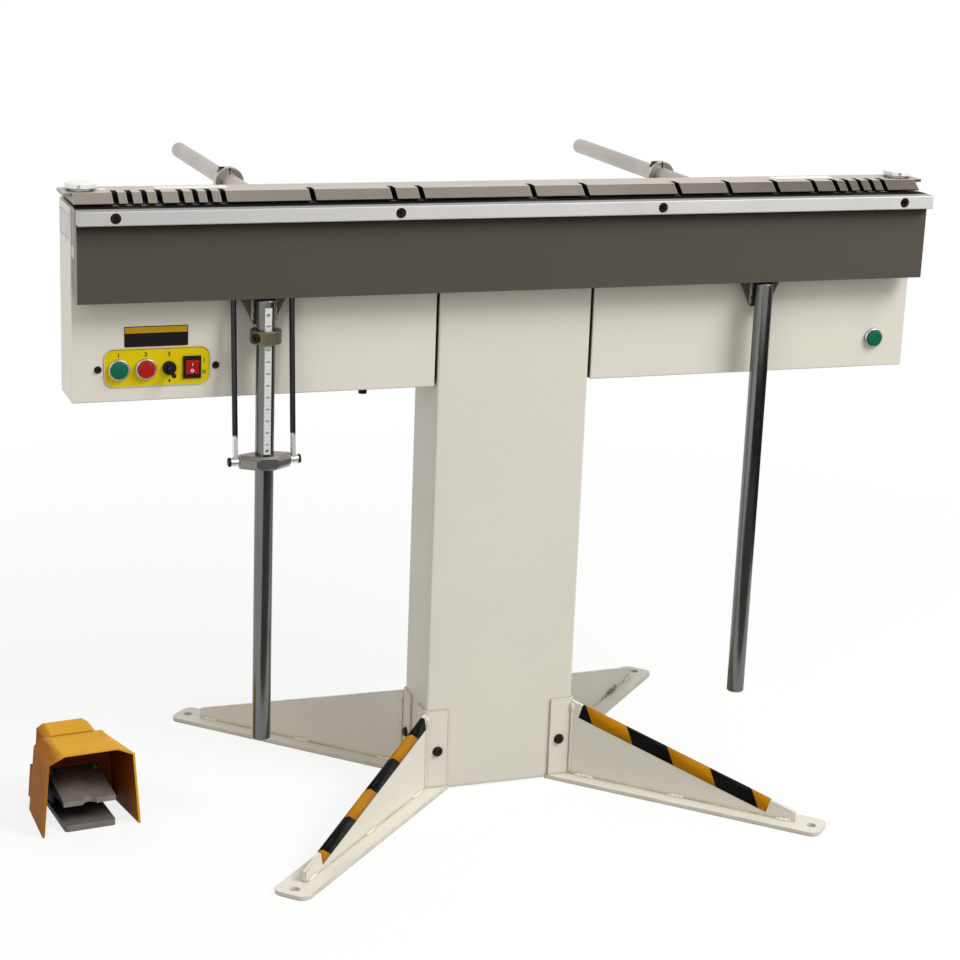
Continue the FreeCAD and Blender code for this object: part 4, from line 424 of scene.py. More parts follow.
@kept
def clamp_steel(name, tone, low, top):
    """Ground clamping bar: painted light and shade along its length, painted light on its top face, painted highlight
    on its edges, and painted black shade in its slots and on its underside.
    """
    made = Finish(name, tone, 0.9)
    marks = made.noise(0.0004, (30, 1, 1), 4.0, 0.7)
    cloud = made.noise(0.07, (2, 1, 1), 5.0)
    made.grain(marks, 0.88, 1.1)
    made.over(cloud, 0.78, 0.4, 0.7, 0.4)
    # Painted light and shade along the bar: lighter towards the left end, darker towards the right.
    made.over(made.along("X", -0.30, -0.62, 0.7), 1.35)
    made.over(made.along("X", 0.12, 0.42, 0.7), 0.35)
    # Painted light on the top face.
    made.over(made.along("Z", top - 0.0005, top - 0.0002), 2.3)
    # Painted highlight on the edges.
    made.over(made.edges(0.001, 0.75), 2.2)
    # Painted black shade in the slots and inner corners.
    made.over(made.corners(0.016), "080706")
    # Painted black shade along the underside.
    made.over(made.along("Z", low + 0.0016, low + 0.0012), GAP_SHADOW)
    worn = made.times(marks, made.span(cloud, 0.3, 0.7, 0.8, 1.3))
    return made.done(worn, 0.3, 0.48, made.relief(marks, 0.00001), 0.2, 0.8)


@kept
def beam_paint(name, tone, under_bar):
    """Dark etched beam: fine speckle, pale rub marks, painted shade towards its left end, painted highlight on its
    edges, painted black shadow on its top and under the extension bar, bare ends.
    """
    made = Finish(name, tone)
    low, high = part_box("bending_beam")
    speck = made.noise(0.0011, detail=3.0, rough=0.7)
    rub = made.noise(0.03, (5, 1, 1), 8.0, 0.7)
    made.grain(speck, 0.86, 1.14)
    # Painted shade: darker towards the left end, as the light falls from the right.
    made.over(made.along("X", 0.6, -0.5, 0.14), "000000")
    made.over(made.noise(0.35, (1.6, 1, 1), 2.0), 0.85, 0.35, 0.65, 0.4)
    made.over(rub, 1.9, 0.64, 0.78, 0.35)
    # Painted highlight on the edges.
    made.over(made.edges(0.0012, 0.5), 2.0)
    for side, code in ((RIGHT, "8C8983"), (LEFT, "B3B0AA")):
        made.over(made.along("X", side * (high.x - 0.0004), side * (high.x - 0.0001)), code)
    # Painted shadow cast by the extension bar on the front face below it.
    shadow = made.along("Z", under_bar - 0.014, under_bar, 0.8)
    made.over(made.times(shadow, made.along("Y", low.y + 0.0004, low.y + 0.0001)), "050403")
    # Painted black shadow on the back of the top, in the gap under the clamping bar.
    behind = made.along("Y", high.y - 0.0185, high.y - 0.0165)
    made.over(made.times(behind, made.along("Z", high.z - 0.0006, high.z - 0.0002)), "060504")
    return made.done(rub, 0.5, 0.62, made.relief(speck, 0.00004), Specular_IOR_Level=0.03)


@kept
def gauge_rod_steel(name, tone, low, high):
    """Blued rods with bright plated feet."""
    made = Finish(name, tone, 1.0)
    marks = made.noise(0.0005, (1, 1, 50), 4.0, 0.7)
    cloud = made.noise(0.02, (1, 1, 4), 4.0)
    made.grain(marks, 0.8, 1.1)
    made.over(cloud, 0.55, 0.4, 0.7, 0.5)
    made.over(made.times(made.along("Z", high, low), made.span(cloud, 0.2, 0.3, 0.9, 1.0)), "E6E4E2")
    # Painted highlight on the edges.
    made.over(made.edges(0.0008, 0.5), 1.5)
    return made.done(marks, 0.2, 0.34, made.relief(marks, 0.000006), 0.2, 0.8)


@kept
def rusty_plate(name, tone):
    """Hot-rolled plate with rust spots round the welds."""
    made = Finish(name, tone, 0.5)
    scale = made.noise(0.004, detail=5.0)
    rust = made.noise(0.011, detail=8.0, rough=0.72)
    made.grain(scale, 0.8, 1.15)
    made.over(rust, "5A3A22", 0.55, 0.63, 0.9)
    made.over(rust, "A9A49A", 0.66, 0.72, 0.8)
    # Painted highlight on the edges.
    made.over(made.edges(0.001, 0.6), 1.8)
    return made.done(scale, 0.42, 0.6, made.relief(rust, 0.0002))


@kept
def blackened(name, tone):
    """Blacked steel with a faint brown bloom and rubbed edges."""
    made = Finish(name, tone, 0.75)
    bloom = made.noise(0.004, detail=4.0)
    made.over(bloom, "3A2A20", 0.45, 0.7)
    made.over(made.edges(0.0006), WORN_BLACK)
    return made.done(bloom, 0.32, 0.5, made.relief(bloom, 0.00003))


@kept
def moulded(name, tone, rough=0.4, clear=0.0):
    """Moulded plastic: fine grain, small differences of tone and lighter edges."""
    made = Finish(name, tone)
    rub = made.noise(0.009, detail=5.0)
    made.over(rub, 0.84, 0.35, 0.7)
    made.over(made.edges(0.0005, 0.3), 1.5)
    skin = made.relief(made.noise(0.0012, detail=2.0), 0.00003)
    return made.done(rub, rough - 0.05, rough + 0.12, skin, Coat_Weight=clear, Coat_Roughness=0.12,
                     Specular_IOR_Level=0.2)


@kept
def enamel(name, tone, left_wall):
    """Thick enamel on a pressed shell: painted shade inside, and painted shade in deeper orange down its left wall.
    """
    made = Finish(name, tone)
    dust = made.noise(0.03, detail=6.0, rough=0.7)
    made.over(dust, 0.86, 0.4, 0.75, 0.5)
    # Painted shade down the left wall, in deeper orange.
    made.over(made.along("X", left_wall + 0.014, left_wall), "A8651A")
    # Painted shade inside the guard, under its roof, where it is occluded.
    below_roof = made.along("Z", 0.116, 0.108)
    made.over(made.times(made.corners(0.3, 0.93, 0.78, 0.97, own=True), below_roof), INSIDE_SHADE)
    made.over(made.cells(0.006), 0.6, 0.035, 0.0, 0.5)
    made.over(made.edges(0.0016, 0.4), 1.12)
    wave = made.relief(made.noise(0.012, detail=2.0), 0.0002)
    return made.done(dust, 0.44, 0.64, wave, Specular_IOR_Level=0.04)


@kept
def cast_paint(name, tone):
    """Paint over a cast part: pitted skin, lighter edges, painted shade under the guard, with slanting ribs on one
    half drawn as grooves of painted shade.
    """
    made = Finish(name, tone, 0.1)
    cloud = made.noise(0.02, detail=5.0)
    made.over(cloud, 0.78, 0.35, 0.7)
    made.over(made.edges(0.0013, 0.7), 1.45)
    own = made.node("ShaderNodeMapping", 0, {
        "Vector": made.place, "Location": PEDAL_MIDDLE, "Rotation": (0, 0, PEDAL_TURN)}, vector_type="TEXTURE")
    x, y, z = (made.node("ShaderNodeSeparateXYZ", axis, {0: own}) for axis in "XYZ")
    slant = made.maths("SUBTRACT", y, made.times(x, 0.45))
    wave = made.maths("SINE", made.times(slant, math.tau / sizes().rib_pitch))
    groove = made.span(wave, -0.1, -0.7, 0.0, 0.65)
    for part, start, end in ((x, 0.001, 0.003), (y, 0.0125, 0.0145), (z, 0.034, 0.037)):
        groove = made.times(groove, made.span(part, start, end))
    # Painted shade in the grooves of the slanting ribs, which are not shaped.
    made.over(groove, 0.3)
    # Painted shade under the guard, where the corners are occluded.
    made.over(made.corners(0.07, 0.5, 0.15, 0.95), "15120F")
    pits = made.relief(made.span(made.cells(0.0022), 0.0, 0.5), 0.00008)
    return made.done(cloud, 0.42, 0.62, made.relief(cloud, 0.0002, pits))


@kept
def tape(name, tone):
    """Plastic tape with fine creases, scuffs and dust."""
    made = Finish(name, tone)
    crease = made.noise(0.02, (1, 1, 0.3), 4.0)
    scuff = made.noise(0.006, (4, 4, 1), 6.0, 0.7)
    made.over(scuff, tuple(part * 0.8 + 0.06 for part in tone), 0.6, 0.74, 0.4)
    made.over(crease, 0.85, 0.3, 0.7, 0.4)
    return made.done(scuff, 0.36, 0.52, made.relief(crease, 0.0003), Specular_IOR_Level=0.06)


@kept
def printed(name, tone, rough=0.38):
    """Printed sheet or sticker: even ink, faint handling marks and a slightly uneven face."""
    made = Finish(name, tone)
    hand = made.noise(0.02, detail=5.0)
    made.over(hand, 0.9, 0.4, 0.75, 0.6)
    made.over(made.noise(0.0008, detail=1.0), 0.93, 0.3, 0.7, 0.2)
    return made.done(hand, rough - 0.06, rough + 0.1, made.relief(hand, 0.0001), Specular_IOR_Level=0.12)


@kept
def winding(name, tone, pitch):
    """Turns of enamelled wire side by side."""
    made = Finish(name, tone, 0.4)
    turns = made.bands(pitch, "Z")
    cloud = made.noise(0.02, detail=4.0)
    made.grain(turns, 0.45, 1.25, None)
    made.over(cloud, 0.7, 0.4, 0.7, 0.6)
    return made.done(cloud, 0.3, 0.45, made.relief(turns, 0.0003))


@kept
def stack(name, tone):
    """The edges of a stack of varnished sheets."""
    made = Finish(name, tone, 0.6)
    sheets = made.bands(0.0007, "Y")
    rust = made.noise(0.012, detail=6.0, rough=0.7)
    made.grain(sheets, 0.6, 1.15, None)
    made.over(rust, "6B4226", 0.55, 0.75, 0.7)
    return made.done(rust, 0.4, 0.6, made.relief(sheets, 0.0002))


def blacked_screw():
    """The finish of the small blacked screws."""
    return blackened("blacked_screw", colours().blacked)


def clean_surface():
    """A modifier tree that joins the corners of a solid's facets and shades its flats and curves apart."""
    if "clean_surface" in bpy.data.node_groups:
        return bpy.data.node_groups["clean_surface"]
    group = bpy.data.node_groups.new("clean_surface", "GeometryNodeTree")
    for way in ("INPUT", "OUTPUT"):
        group.interface.new_socket("Geometry", in_out=way, socket_type="NodeSocketGeometry")
    chain = [group.nodes.new(kind) for kind in (
        "NodeGroupInput", "GeometryNodeRemoveAttribute", "GeometryNodeMergeByDistance",
        "GeometryNodeSetShadeSmooth", "GeometryNodeSetShadeSmooth", "NodeGroupOutput")]
    for before, after in zip(chain, chain[1:]):
        group.links.new(before.outputs[0], after.inputs[0])
    _, drop, join, faces, edges, _ = chain
    drop.inputs["Name"].default_value = "custom_normal"
    join.inputs["Distance"].default_value = 0.000004
    faces.domain, edges.domain = "FACE", "EDGE"
    edges.inputs["Shade Smooth"].default_value = False
    angle = group.nodes.new("GeometryNodeInputMeshEdgeAngle")
    sharp = group.nodes.new("FunctionNodeCompare")
    sharp.operation = "GREATER_THAN"
    sharp.inputs[1].default_value = math.radians(31)
    group.links.new(angle.outputs["Unsigned Angle"], sharp.inputs[0])
    group.links.new(sharp.outputs[0], edges.inputs["Selection"])
    return group


def modify(thing, name, kind, **settings):
    """Give a piece a modifier with its settings."""
    added = thing.modifiers.new(name, kind)
    for setting, value in settings.items():
        setattr(added, setting, value)


def soften(thing, width, steps=2):
    """Break the sharp edges of a piece so that they catch the light."""
    modify(thing, "clean", "NODES", node_group=clean_surface())
    modify(thing, "flat", "DECIMATE", decimate_type="DISSOLVE", angle_limit=math.radians(0.3))
    modify(thing, "ease", "BEVEL", width=width, segments=steps, limit_method="ANGLE", angle_limit=math.radians(40),
           harden_normals=True, miter_outer="MITER_ARC")


def coat(finish, *names, edge=None, steps=2):
    """Give solids of the frame their finish, and soften their edges."""
    for name in names:
        solid = frame["nodes"][name]
        solid.data.materials.clear()
        solid.data.materials.append(finish)
        if edge:
            soften(solid, edge, steps)


def seat(origin, out, up=UP):
    """A place on the object: its Z axis points out of the surface and its Y axis up along it."""
    out = Vector(out).normalized()
    side = Vector(up).cross(out).normalized()
    turned = Matrix((side, out.cross(side), out)).transposed().to_4x4()
    return Matrix.Translation(Vector(origin)) @ turned


def shift(x, y, z=0.0):
    """A move along a place's own axes."""
    return Matrix.Translation((x, y, z))


def lay(name, x, z):
    """The place where a line from the front meets a solid, turned to its skin."""
    mesh = frame["nodes"][name].data
    skin = BVHTree.FromPolygons([point.co.copy() for point in mesh.vertices],
                                [tuple(face.vertices) for face in mesh.polygons])
    spot, out, _, _ = skin.ray_cast(Vector((x, -0.5, z)), Vector(BACK))
    return seat(spot, out)


def middle(name):
    """The middle of a solid of the frame."""
    low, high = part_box(name)
    return (low + high) / 2


def rounded(wide, tall, corner, steps=6):
    """The outline of a plate with rounded corners, about its middle."""
    points = []
    for index, (x, y) in enumerate(((1, 1), (-1, 1), (-1, -1), (1, -1))):
        for step in range(steps + 1):
            turn = math.radians(90 * index + 90 * step / steps)
            points.append((x * (wide / 2 - corner) + corner * math.cos(turn),
                           y * (tall / 2 - corner) + corner * math.sin(turn)))
    return points


def block(wide, tall):
    """The outline of a plain bar, about its middle."""
    return [(x * wide / 2, y * tall / 2) for x, y in ((-1, -1), (1, -1), (1, 1), (-1, 1))]


def circle(radius, steps=32):
    """A round outline."""
    turns = [math.tau * step / steps for step in range(steps)]
    return [(radius * math.cos(turn), radius * math.sin(turn)) for turn in turns]


def raised(place, outline, height):
    """An outline at a height over a place."""
    return [place @ Vector((*point, height)) for point in outline]


class Shape:
    """Vertices and faces of one piece, gathered part by part."""

    def __init__(self):
        self.points = []
        self.faces = []

    def add(self, points, faces):
        """Points and the faces between them."""
        first = len(self.points)
        self.points.extend(Vector(point) for point in points)
        self.faces.extend(tuple(first + index for index in face) for face in faces)
        return self

    def skin(self, rings, closed=False):
        """A skin over rings of points, closed by its two end rings or back to the first ring."""
        count, last = len(rings[0]), len(rings) - 1
        faces = [] if closed else [tuple(reversed(range(count))), tuple(last * count + at for at in range(count))]
        for ring in range(len(rings) if closed else last):
            low, high = ring * count, (ring + 1) % len(rings) * count
            for at in range(count):
                after = (at + 1) % count
                faces.append((low + at, low + after, high + after, high + at))
        return self.add([point for ring in rings for point in ring], faces)

    def lathe(self, place, profile, steps=20):
        """A turned shape: radius and height along the place's Z axis."""
        return self.skin([raised(place, circle(radius, steps), height) for radius, height in profile])

    def plate(self, place, outline, thick, ease=0.15):
        """A plate with a slightly eased upper edge."""
        centre = sum((Vector(point) for point in outline), Vector((0, 0))) / len(outline)
        arms = [Vector(point) - centre for point in outline]
        inner = [centre + arm * (1 - ease * thick / max(0.001, arm.length)) for arm in arms]
        return self.skin([raised(place, outline, 0.0), raised(place, outline, thick * 0.7),
                          raised(place, inner, thick)])

    def ring(self, place, outer, inner, thick):
        """A flat frame between two outlines that have as many points."""
        loops = ((outer, 0.0), (outer, thick), (inner, thick), (inner, 0.0))
        return self.skin([raised(place, loop, height) for loop, height in loops], closed=True)

    def bead(self, start, end, radius, out, ripple, pitch):
        """A weld bead between two points: even ripples, tapered ends, sunk into the joint."""
        long = (end - start).length
        way = (end - start).normalized()
        out = Vector(out).normalized()
        across = way.cross(out).normalized()
        count = max(6, int(long / pitch * 4))
        rings = []
        for at in range(count + 1):
            along = at / count
            swell = min(1.0, (0.5 - abs(along - 0.5)) * long / radius * 0.5 + 0.25)
            size = radius * swell * (1 + ripple * math.sin(math.tau * along * long / pitch))
            wander = radius * 0.12 * math.sin(along * long / pitch * 1.7)
            centre = start + way * (along * long) + across * wander
            rings.append([centre + across * x + out * y for x, y in circle(size, 10)])
        return self.skin(rings)

    def words(self, place, text, tall, thick, bold):
        """Plain figures or letters, centred on the place."""
        curve = bpy.data.curves.new("figures", "FONT")
        curve.body = text
        curve.size = tall / 0.7
        curve.align_x = curve.align_y = "CENTER"
        curve.extrude = thick / 2
        curve.offset = bold
        curve.resolution_u = 3
        holder = bpy.data.objects.new("figures", curve)
        mesh = bpy.data.meshes.new_from_object(holder)
        place = place @ shift(0, 0, thick / 2)
        self.add([place @ point.co for point in mesh.vertices], [tuple(face.vertices) for face in mesh.polygons])
        bpy.data.objects.remove(holder)
        bpy.data.curves.remove(curve)
        bpy.data.meshes.remove(mesh)
        return self

    def make(self, name, body, finish, slot, smooth=30, edge=None):
        """The finished piece, riding on its body."""
        mesh = bpy.data.meshes.new(name)
        mesh.from_pydata(self.points, [], self.faces)
        shaped = bmesh.new()
        shaped.from_mesh(mesh)
        bmesh.ops.remove_doubles(shaped, verts=shaped.verts, dist=0.000002)
        bmesh.ops.recalc_face_normals(shaped, faces=shaped.faces)
        for face in shaped.faces:
            face.smooth = True
        for line in shaped.edges:
            if len(line.link_faces) == 2 and line.calc_face_angle(0.0) > math.radians(smooth):
                line.smooth = False
        shaped.to_mesh(mesh)
        shaped.free()
        mesh.materials.append(finish)
        piece = bpy.data.objects.new(name, mesh)
        bpy.context.scene.collection.objects.link(piece)
        if edge:
            soften(piece, edge)
        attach(piece, body)
        return piece


def foot_place(name):
    """A foot's own axes: X along it from the corner of the column, Z up."""
    x_side, y_side = FEET[name]
    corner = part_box("column")[1]
    way = Vector((x_side, y_side, 0)).normalized()
    turned = Matrix((way, Vector(UP).cross(way), UP)).transposed().to_4x4()
    return shift(corner.x * x_side, corner.y * y_side) @ turned


def crest(along):
    """Height of a rib's upper edge."""
    return RIB_TALL - (along - RIB_START) / (RIB_END - RIB_START) * (RIB_TALL - RIB_TOE)


def clip(outline, axis, low, high):
    """The part of an outline between two lines across an axis."""
    for limit, keep in ((low, 1), (high, -1)):
        made = []
        for at, point in enumerate(outline):
            after = outline[(at + 1) % len(outline)]
            here = (point[axis] - limit) * keep
            there = (after[axis] - limit) * keep
            if here >= 0:
                made.append(point)
            if here * there < 0:
                part = here / (here - there)
                made.append(tuple(a + (b - a) * part for a, b in zip(point, after)))
        outline = made
    return outline


def on_rib(along, across):
    """A point of flat tape, folded over the crest of a rib, in the foot's own axes."""
    lift = sizes().tape_thick
    down = max(0.0, abs(across) - RIB_HALF)
    if abs(abs(across) - RIB_HALF) < 1e-6:
        return Vector((along, math.copysign(RIB_HALF + lift * 0.7, across), crest(along) + lift * 0.7))
    if down == 0:
        return Vector((along, across, crest(along) + lift))
    slope = math.atan2(RIB_TALL - RIB_TOE, RIB_END - RIB_START)
    return Vector((along - math.sin(slope) * down, math.copysign(RIB_HALF + lift, across),
                   crest(along) - math.cos(slope) * down))


def tape_bands(name, marks):
    """Two pieces of hazard tape folded over the crest of a rib: the black bands and the amber ones."""
    place = foot_place(name)
    drop = sizes().tape_drop
    slant = math.tan(sizes().tape_lean)
    shapes = (Shape(), Shape())
    folds = (-drop - RIB_HALF, -RIB_HALF, RIB_HALF, drop + RIB_HALF)
    leans = (0.0, *[slant] * (len(marks) - 2), 0.0)
    lines = [[(mark - lean * side, side) for side in (folds[0], folds[-1])] for mark, lean in zip(marks, leans)]
    for index, (start, end) in enumerate(zip(lines, lines[1:])):
        band = clip([start[0], end[0], end[1], start[1]], 0, marks[0], marks[-1])
        for low, high in zip(folds, folds[1:]):
            flap = clip(band, 1, low, high)
            if len(flap) > 2:
                shapes[index % 2].add([place @ on_rib(*point) for point in flap], [tuple(range(len(flap)))])
    for shape, word, tone in zip(shapes, ("black", "amber"), (colours().black_tape, colours().amber)):
        piece = shape.make("tape_%s_%s" % (word, name), "frame", tape("tape_" + word, tone), name, smooth=60)
        modify(piece, "thickness", "SOLIDIFY", thickness=sizes().tape_thick * 0.9, offset=-1.0)


class BRAKE_OT_column(bpy.types.Operator):
    """Finish the column and the panel over the window in its back"""

    bl_idname = "brake.column"
    bl_label = "Column"

    def execute(self, context):
        # The column's paint has painted near-black shade in its gaps.
        paint = powder_coat("cream_column", shade(colours().sheet, 0.97), soil_share=0.45, painted_gap_shade=True)
        coat(paint, "column", "column_rear_panel", edge=sizes().sheet_edge)
        low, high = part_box("column_rear_panel")
        screws = Shape()
        for x in (low.x + 0.011, high.x - 0.011):
            for step in range(4):
                z = low.z + 0.012 + (high.z - low.z - 0.024) * step / 3
                screws.lathe(seat((x, high.y, z), BACK), PANEL_SCREW)
        screws.make("column_panel_screws", "frame", blacked_screw(), "foot_bolts")
        return {"FINISHED"}


class BRAKE_OT_feet(bpy.types.Operator):
    """Finish the feet: paint, bolts, stitched welds and the hazard tape on the front two"""

    bl_idname = "brake.feet"
    bl_label = "Feet"

    def execute(self, context):
        sheet = colours().sheet
        streaks = [((0.266 + 0.011 * at, 0.195 + 0.0109 * at, 0.0075 + 0.0003 * at), reach) for at, reach in STREAK]
        paint = powder_coat("cream_feet", sheet, soil_share=0.8, edge_soil=0.7, chips=0.55)
        # The rear right foot: a darker copy of the cream paint, painted shade, with heavier soil and rust streaks.
        dim = powder_coat("cream_rear_foot", shade(sheet, 0.62), soil_share=1.0, edge_soil=0.9, chips=0.9,
                          streaks=streaks)
        smooth = powder_coat("cream_weld", sheet, soil_share=0.12, edge_soil=0.1)
        *bright, shaded = FEET
        coat(paint, *bright, edge=sizes().edge)
        coat(dim, shaded, edge=sizes().edge)
        coat(blackened("blacked_bolt", colours().blacked), "foot_bolts", edge=SMALL)
        for name in FEET:
            self.welds(name, dim if name == shaded else smooth)
        for name, marks in TAPE_MARKS.items():
            tape_bands(name, marks)
        return {"FINISHED"}

    def welds(self, name, finish):
        """Stitches along the foot of a rib, and beads up its joint with the corner angle."""
        place = foot_place(name)
        size = sizes().weld
        z, x = STRIP_TOP + size * 0.2, 0.0042
        beads = Shape()
        for side in (LEFT, RIGHT):
            low, up = side * (RIB_HALF + size * 0.25), side * (RIB_HALF + size * 0.1)
            runs = [((start, low, z), (end, low, z), size, (0, side, 1), 0.2, 0.0075) for start, end in STITCHES]
            runs.append(((x, up, 0.010), (x, up, 0.118), size * 0.6, (1, side, 0), 0.1, 0.009))
            runs.append(((x, up, 0.108), (x, up, 0.125), size * 1.2, (1, side, 0), 0.15, 0.011))
            for start, end, radius, out, ripple, pitch in runs:
                beads.bead(place @ Vector(start), place @ Vector(end), radius, place.to_3x3() @ Vector(out),
                           ripple, pitch)
        beads.make("weld_" + name, "frame", finish, name, smooth=80)


class BRAKE_OT_magnet(bpy.types.Operator):
    """Finish the magnet: poles, yoke, winding, and the bare plate on its left end"""

    bl_idname = "brake.magnet"
    bl_label = "Magnet"

    def execute(self, context):
        names, edge = colours(), sizes().edge
        low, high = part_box("front_pole")
        coat(worked_steel("ground_pole", names.pole, 0.36), "rear_pole", "magnet_core", "bed_end_blocks", edge=edge)
        # The front pole gets a painted black shadow along the front of its top.
        coat(worked_steel("oily_pole", names.pole, 0.36, gap_shadow_at=(low.y, high.z)), "front_pole", edge=edge)
        coat(powder_coat("cream_yoke", names.sheet), "yoke_plate", edge=edge)
        coat(winding("copper_winding", names.wire, 0.0014), "magnet_coil")
        coat(moulded("slot_strip", "8F8C84", 0.5), "slot_cover", edge=FINE)
        coat(worked_steel("zinc_bolt", "8E8F8C", 0.4), "bed_bolts", edge=SMALL)
        self.end_plate(seat((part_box("cover_left")[0].x, *END_PLATE_AT), (-1, 0, 0)), sizes().plate)
        return {"FINISHED"}

    def end_plate(self, place, thick):
        """A bare plate with a printed border and four rivets."""
        wide, tall = END_PLATE
        plate = Shape().plate(place, rounded(wide, tall, 0.002), thick)
        plate.make("end_plate", "frame", printed("bare_plate", colours().label), "angle_scale", edge=0.0001)
        border = Shape().ring(place @ shift(0, 0, thick), rounded(wide - 0.004, tall - 0.004, 0.0015),
                              rounded(wide - 0.005, tall - 0.005, 0.0012), FILM)
        border.make("end_plate_border", "frame", printed("plate_line", "8E8C86"), "angle_scale")
        rivets = Shape()
        for x, y in block(wide - 0.006, tall - 0.006):
            rivets.lathe(place @ shift(x, y), RIVET, 16)
        rivets.make("end_plate_rivets", "frame", worked_steel("rivet", "B0AFAA", 0.35), "angle_scale")


class BRAKE_OT_beam(bpy.types.Operator):
    """Finish the bending beam, its extension bar and the hinge"""

    bl_idname = "brake.beam"
    bl_label = "Bending beam"

    def execute(self, context):
        names, edge = colours(), sizes().edge
        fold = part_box("bending_beam")[1].y
        low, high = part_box("extension_bar")
        coat(beam_paint("dark_beam", names.beam, low.z), "bending_beam", edge=edge)
        # Painted shade on the extension bar: darker towards its left end and on its top face.
        darker = (("X", -0.1, low.x, 0.76), ("Z", high.z - 0.0006, high.z - 0.0002, 0.42))
        coat(worked_steel("bright_bar", names.bar, 0.42, along=(6, 1, 1), depth=0.00002, stain=0.22,
                          painted_edge_light=0.75, metal=0.35, painted_shading=darker), "extension_bar", edge=edge)
        # The hinge gets a painted black shadow along the front of its top.
        coat(worked_steel("hinge_steel", names.pole, 0.36, metal=0.3, gap_shadow_at=(fold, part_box("hinge_sectors")[1].z),
                          gloss=0.1), "hinge_sectors", edge=0.0004)
        coat(blacked_screw(), "beam_screws", edge=FINE)
        return {"FINISHED"}


class BRAKE_OT_handles(bpy.types.Operator):
    """Finish the handles and weld them to their plates"""

    bl_idname = "brake.handles"
    bl_label = "Handles"

    def execute(self, context):
        coat(worked_steel("zinc_tube", colours().tube, 0.12, along=(1, 1, 60), depth=0.000006, stain=0.4,
                          painted_edge_light=1.5, corner_shade_and_grime=0.8), "handle_left", "handle_right", edge=SMALL)
        coat(rusty_plate("plate_steel", "4E4B48"), "handle_plates", edge=0.0006)
        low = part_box("handle_plates")[0]
        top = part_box("handle_left")[1].z
        beads = Shape()
        aside, y = 0.0158, low.y - 0.0012
        for side in (LEFT, RIGHT):
            for way in (LEFT, RIGHT):
                x = side * abs(middle("handle_left").x) + way * aside
                beads.bead(Vector((x, y, low.z + 0.003)), Vector((x, y, top + 0.001)), 0.0032,
                           (way * 0.5, -1, 0), 0.14, 0.004)
        beads.make("weld_handles", "beam", rusty_plate("weld_steel", "8C867C"), "handle_plates", smooth=80)
        return {"FINISHED"}


class BRAKE_OT_gauge(bpy.types.Operator):
    """Finish the angle gauge, with the figures and marks of its scale"""

    bl_idname = "brake.gauge"
    bl_label = "Angle gauge"

    def execute(self, context):
        names = colours()
        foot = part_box("gauge_slider")[1].z
        coat(printed("white_scale", names.scale, 0.42), "angle_scale", edge=0.0002)
        coat(worked_steel("slider_steel", names.slider, 0.3, along=(6, 6, 1), stain=0.5, painted_edge_light=2.4,
                          corner_shade_and_grime=0.7), "gauge_slider", edge=0.0008)
        coat(worked_steel("olive_collar", names.collar, 0.42, along=(8, 8, 1), metal=0.85,
                          painted_edge_light=2.2, corner_shade_and_grime=0.8), "stop_collar", edge=0.0006)
        coat(gauge_rod_steel("drawn_rod", names.rod, foot + 0.026, foot + 0.029), "gauge_rods", edge=SMALL)
        coat(worked_steel("bracket_steel", shade(names.rod, 0.9), 0.4), "gauge_bracket", edge=SMALL)
        coat(blacked_screw(), "gauge_rod_screws", "stop_collar_screw", edge=FINE)
        self.marks(foot)
        return {"FINISHED"}

    def marks(self, start):
        """Figures every few degrees, read at the slider's upper edge, finer marks, and two screws."""
        low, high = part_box("angle_scale")
        rise = next(rule["ratio"] for rule in frame["record"]["behaviour"]["couplings"]
                    if rule["joint"] == "gauge_slider_travel")
        x = (low.x + high.x) / 2
        ink, screws = Shape(), Shape()
        for angle in range(5, 181, 5):
            z = start + rise * math.radians(angle)
            if not low.z + 0.012 <= z <= high.z - 0.024:
                continue
            whole = angle % sizes().scale_step == 0
            wide = 0.0034 if whole else 0.0018
            for side in (LEFT, RIGHT):
                place = seat((x + side * (0.0046 - wide / 2), low.y, z), FRONT)
                ink.plate(place, block(wide, sizes().tick), INK, ease=0.0)
            if whole:
                ink.words(seat((x, low.y, z), FRONT), str(angle), sizes().figure, INK, bold=0.00008)
        for z in (high.z - 0.009, low.z + 0.006):
            screws.lathe(seat((x, low.y, z), FRONT), SCALE_SCREW)
        ink.make("scale_marks", "beam", printed("black_ink", "26231F"), "angle_scale")
        screws.make("scale_screws", "beam", worked_steel("small_screw", "8C8A86", 0.3), "gauge_rods")


class BRAKE_OT_clamping_bar(bpy.types.Operator):
    """Finish the clamping bar, its knobs and the bare stickers on its top"""

    bl_idname = "brake.clamping_bar"
    bl_label = "Clamping bar"

    def execute(self, context):
        names = colours()
        low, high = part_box("clamping_bar")
        coat(clamp_steel("ground_clamp", names.clamp, low.z, high.z), "clamping_bar", edge=sizes().edge)
        coat(worked_steel("plated_knob", names.chrome, 0.2, along=(2, 2, 1), depth=0.000002, stain=0.02,
                          painted_edge_light=0.7, metal=0.5), "adjuster_left", "adjuster_right", edge=0.0008, steps=3)
        coat(worked_steel("ball_steel", names.chrome, 0.15), "ball_plungers")
        stickers = Shape()
        outlines = [(at, rounded(*STRIP, 0.001)) for at in STRIPS_AT]
        for at, outline in (*outlines, (DOT_AT, circle(DOT_RADIUS))):
            stickers.plate(seat((*at, high.z), UP, BACK), outline, 0.00018)
        stickers.make("clamp_stickers", "clamping_bar", printed("bare_sticker", names.label), "angle_scale")
        return {"FINISHED"}


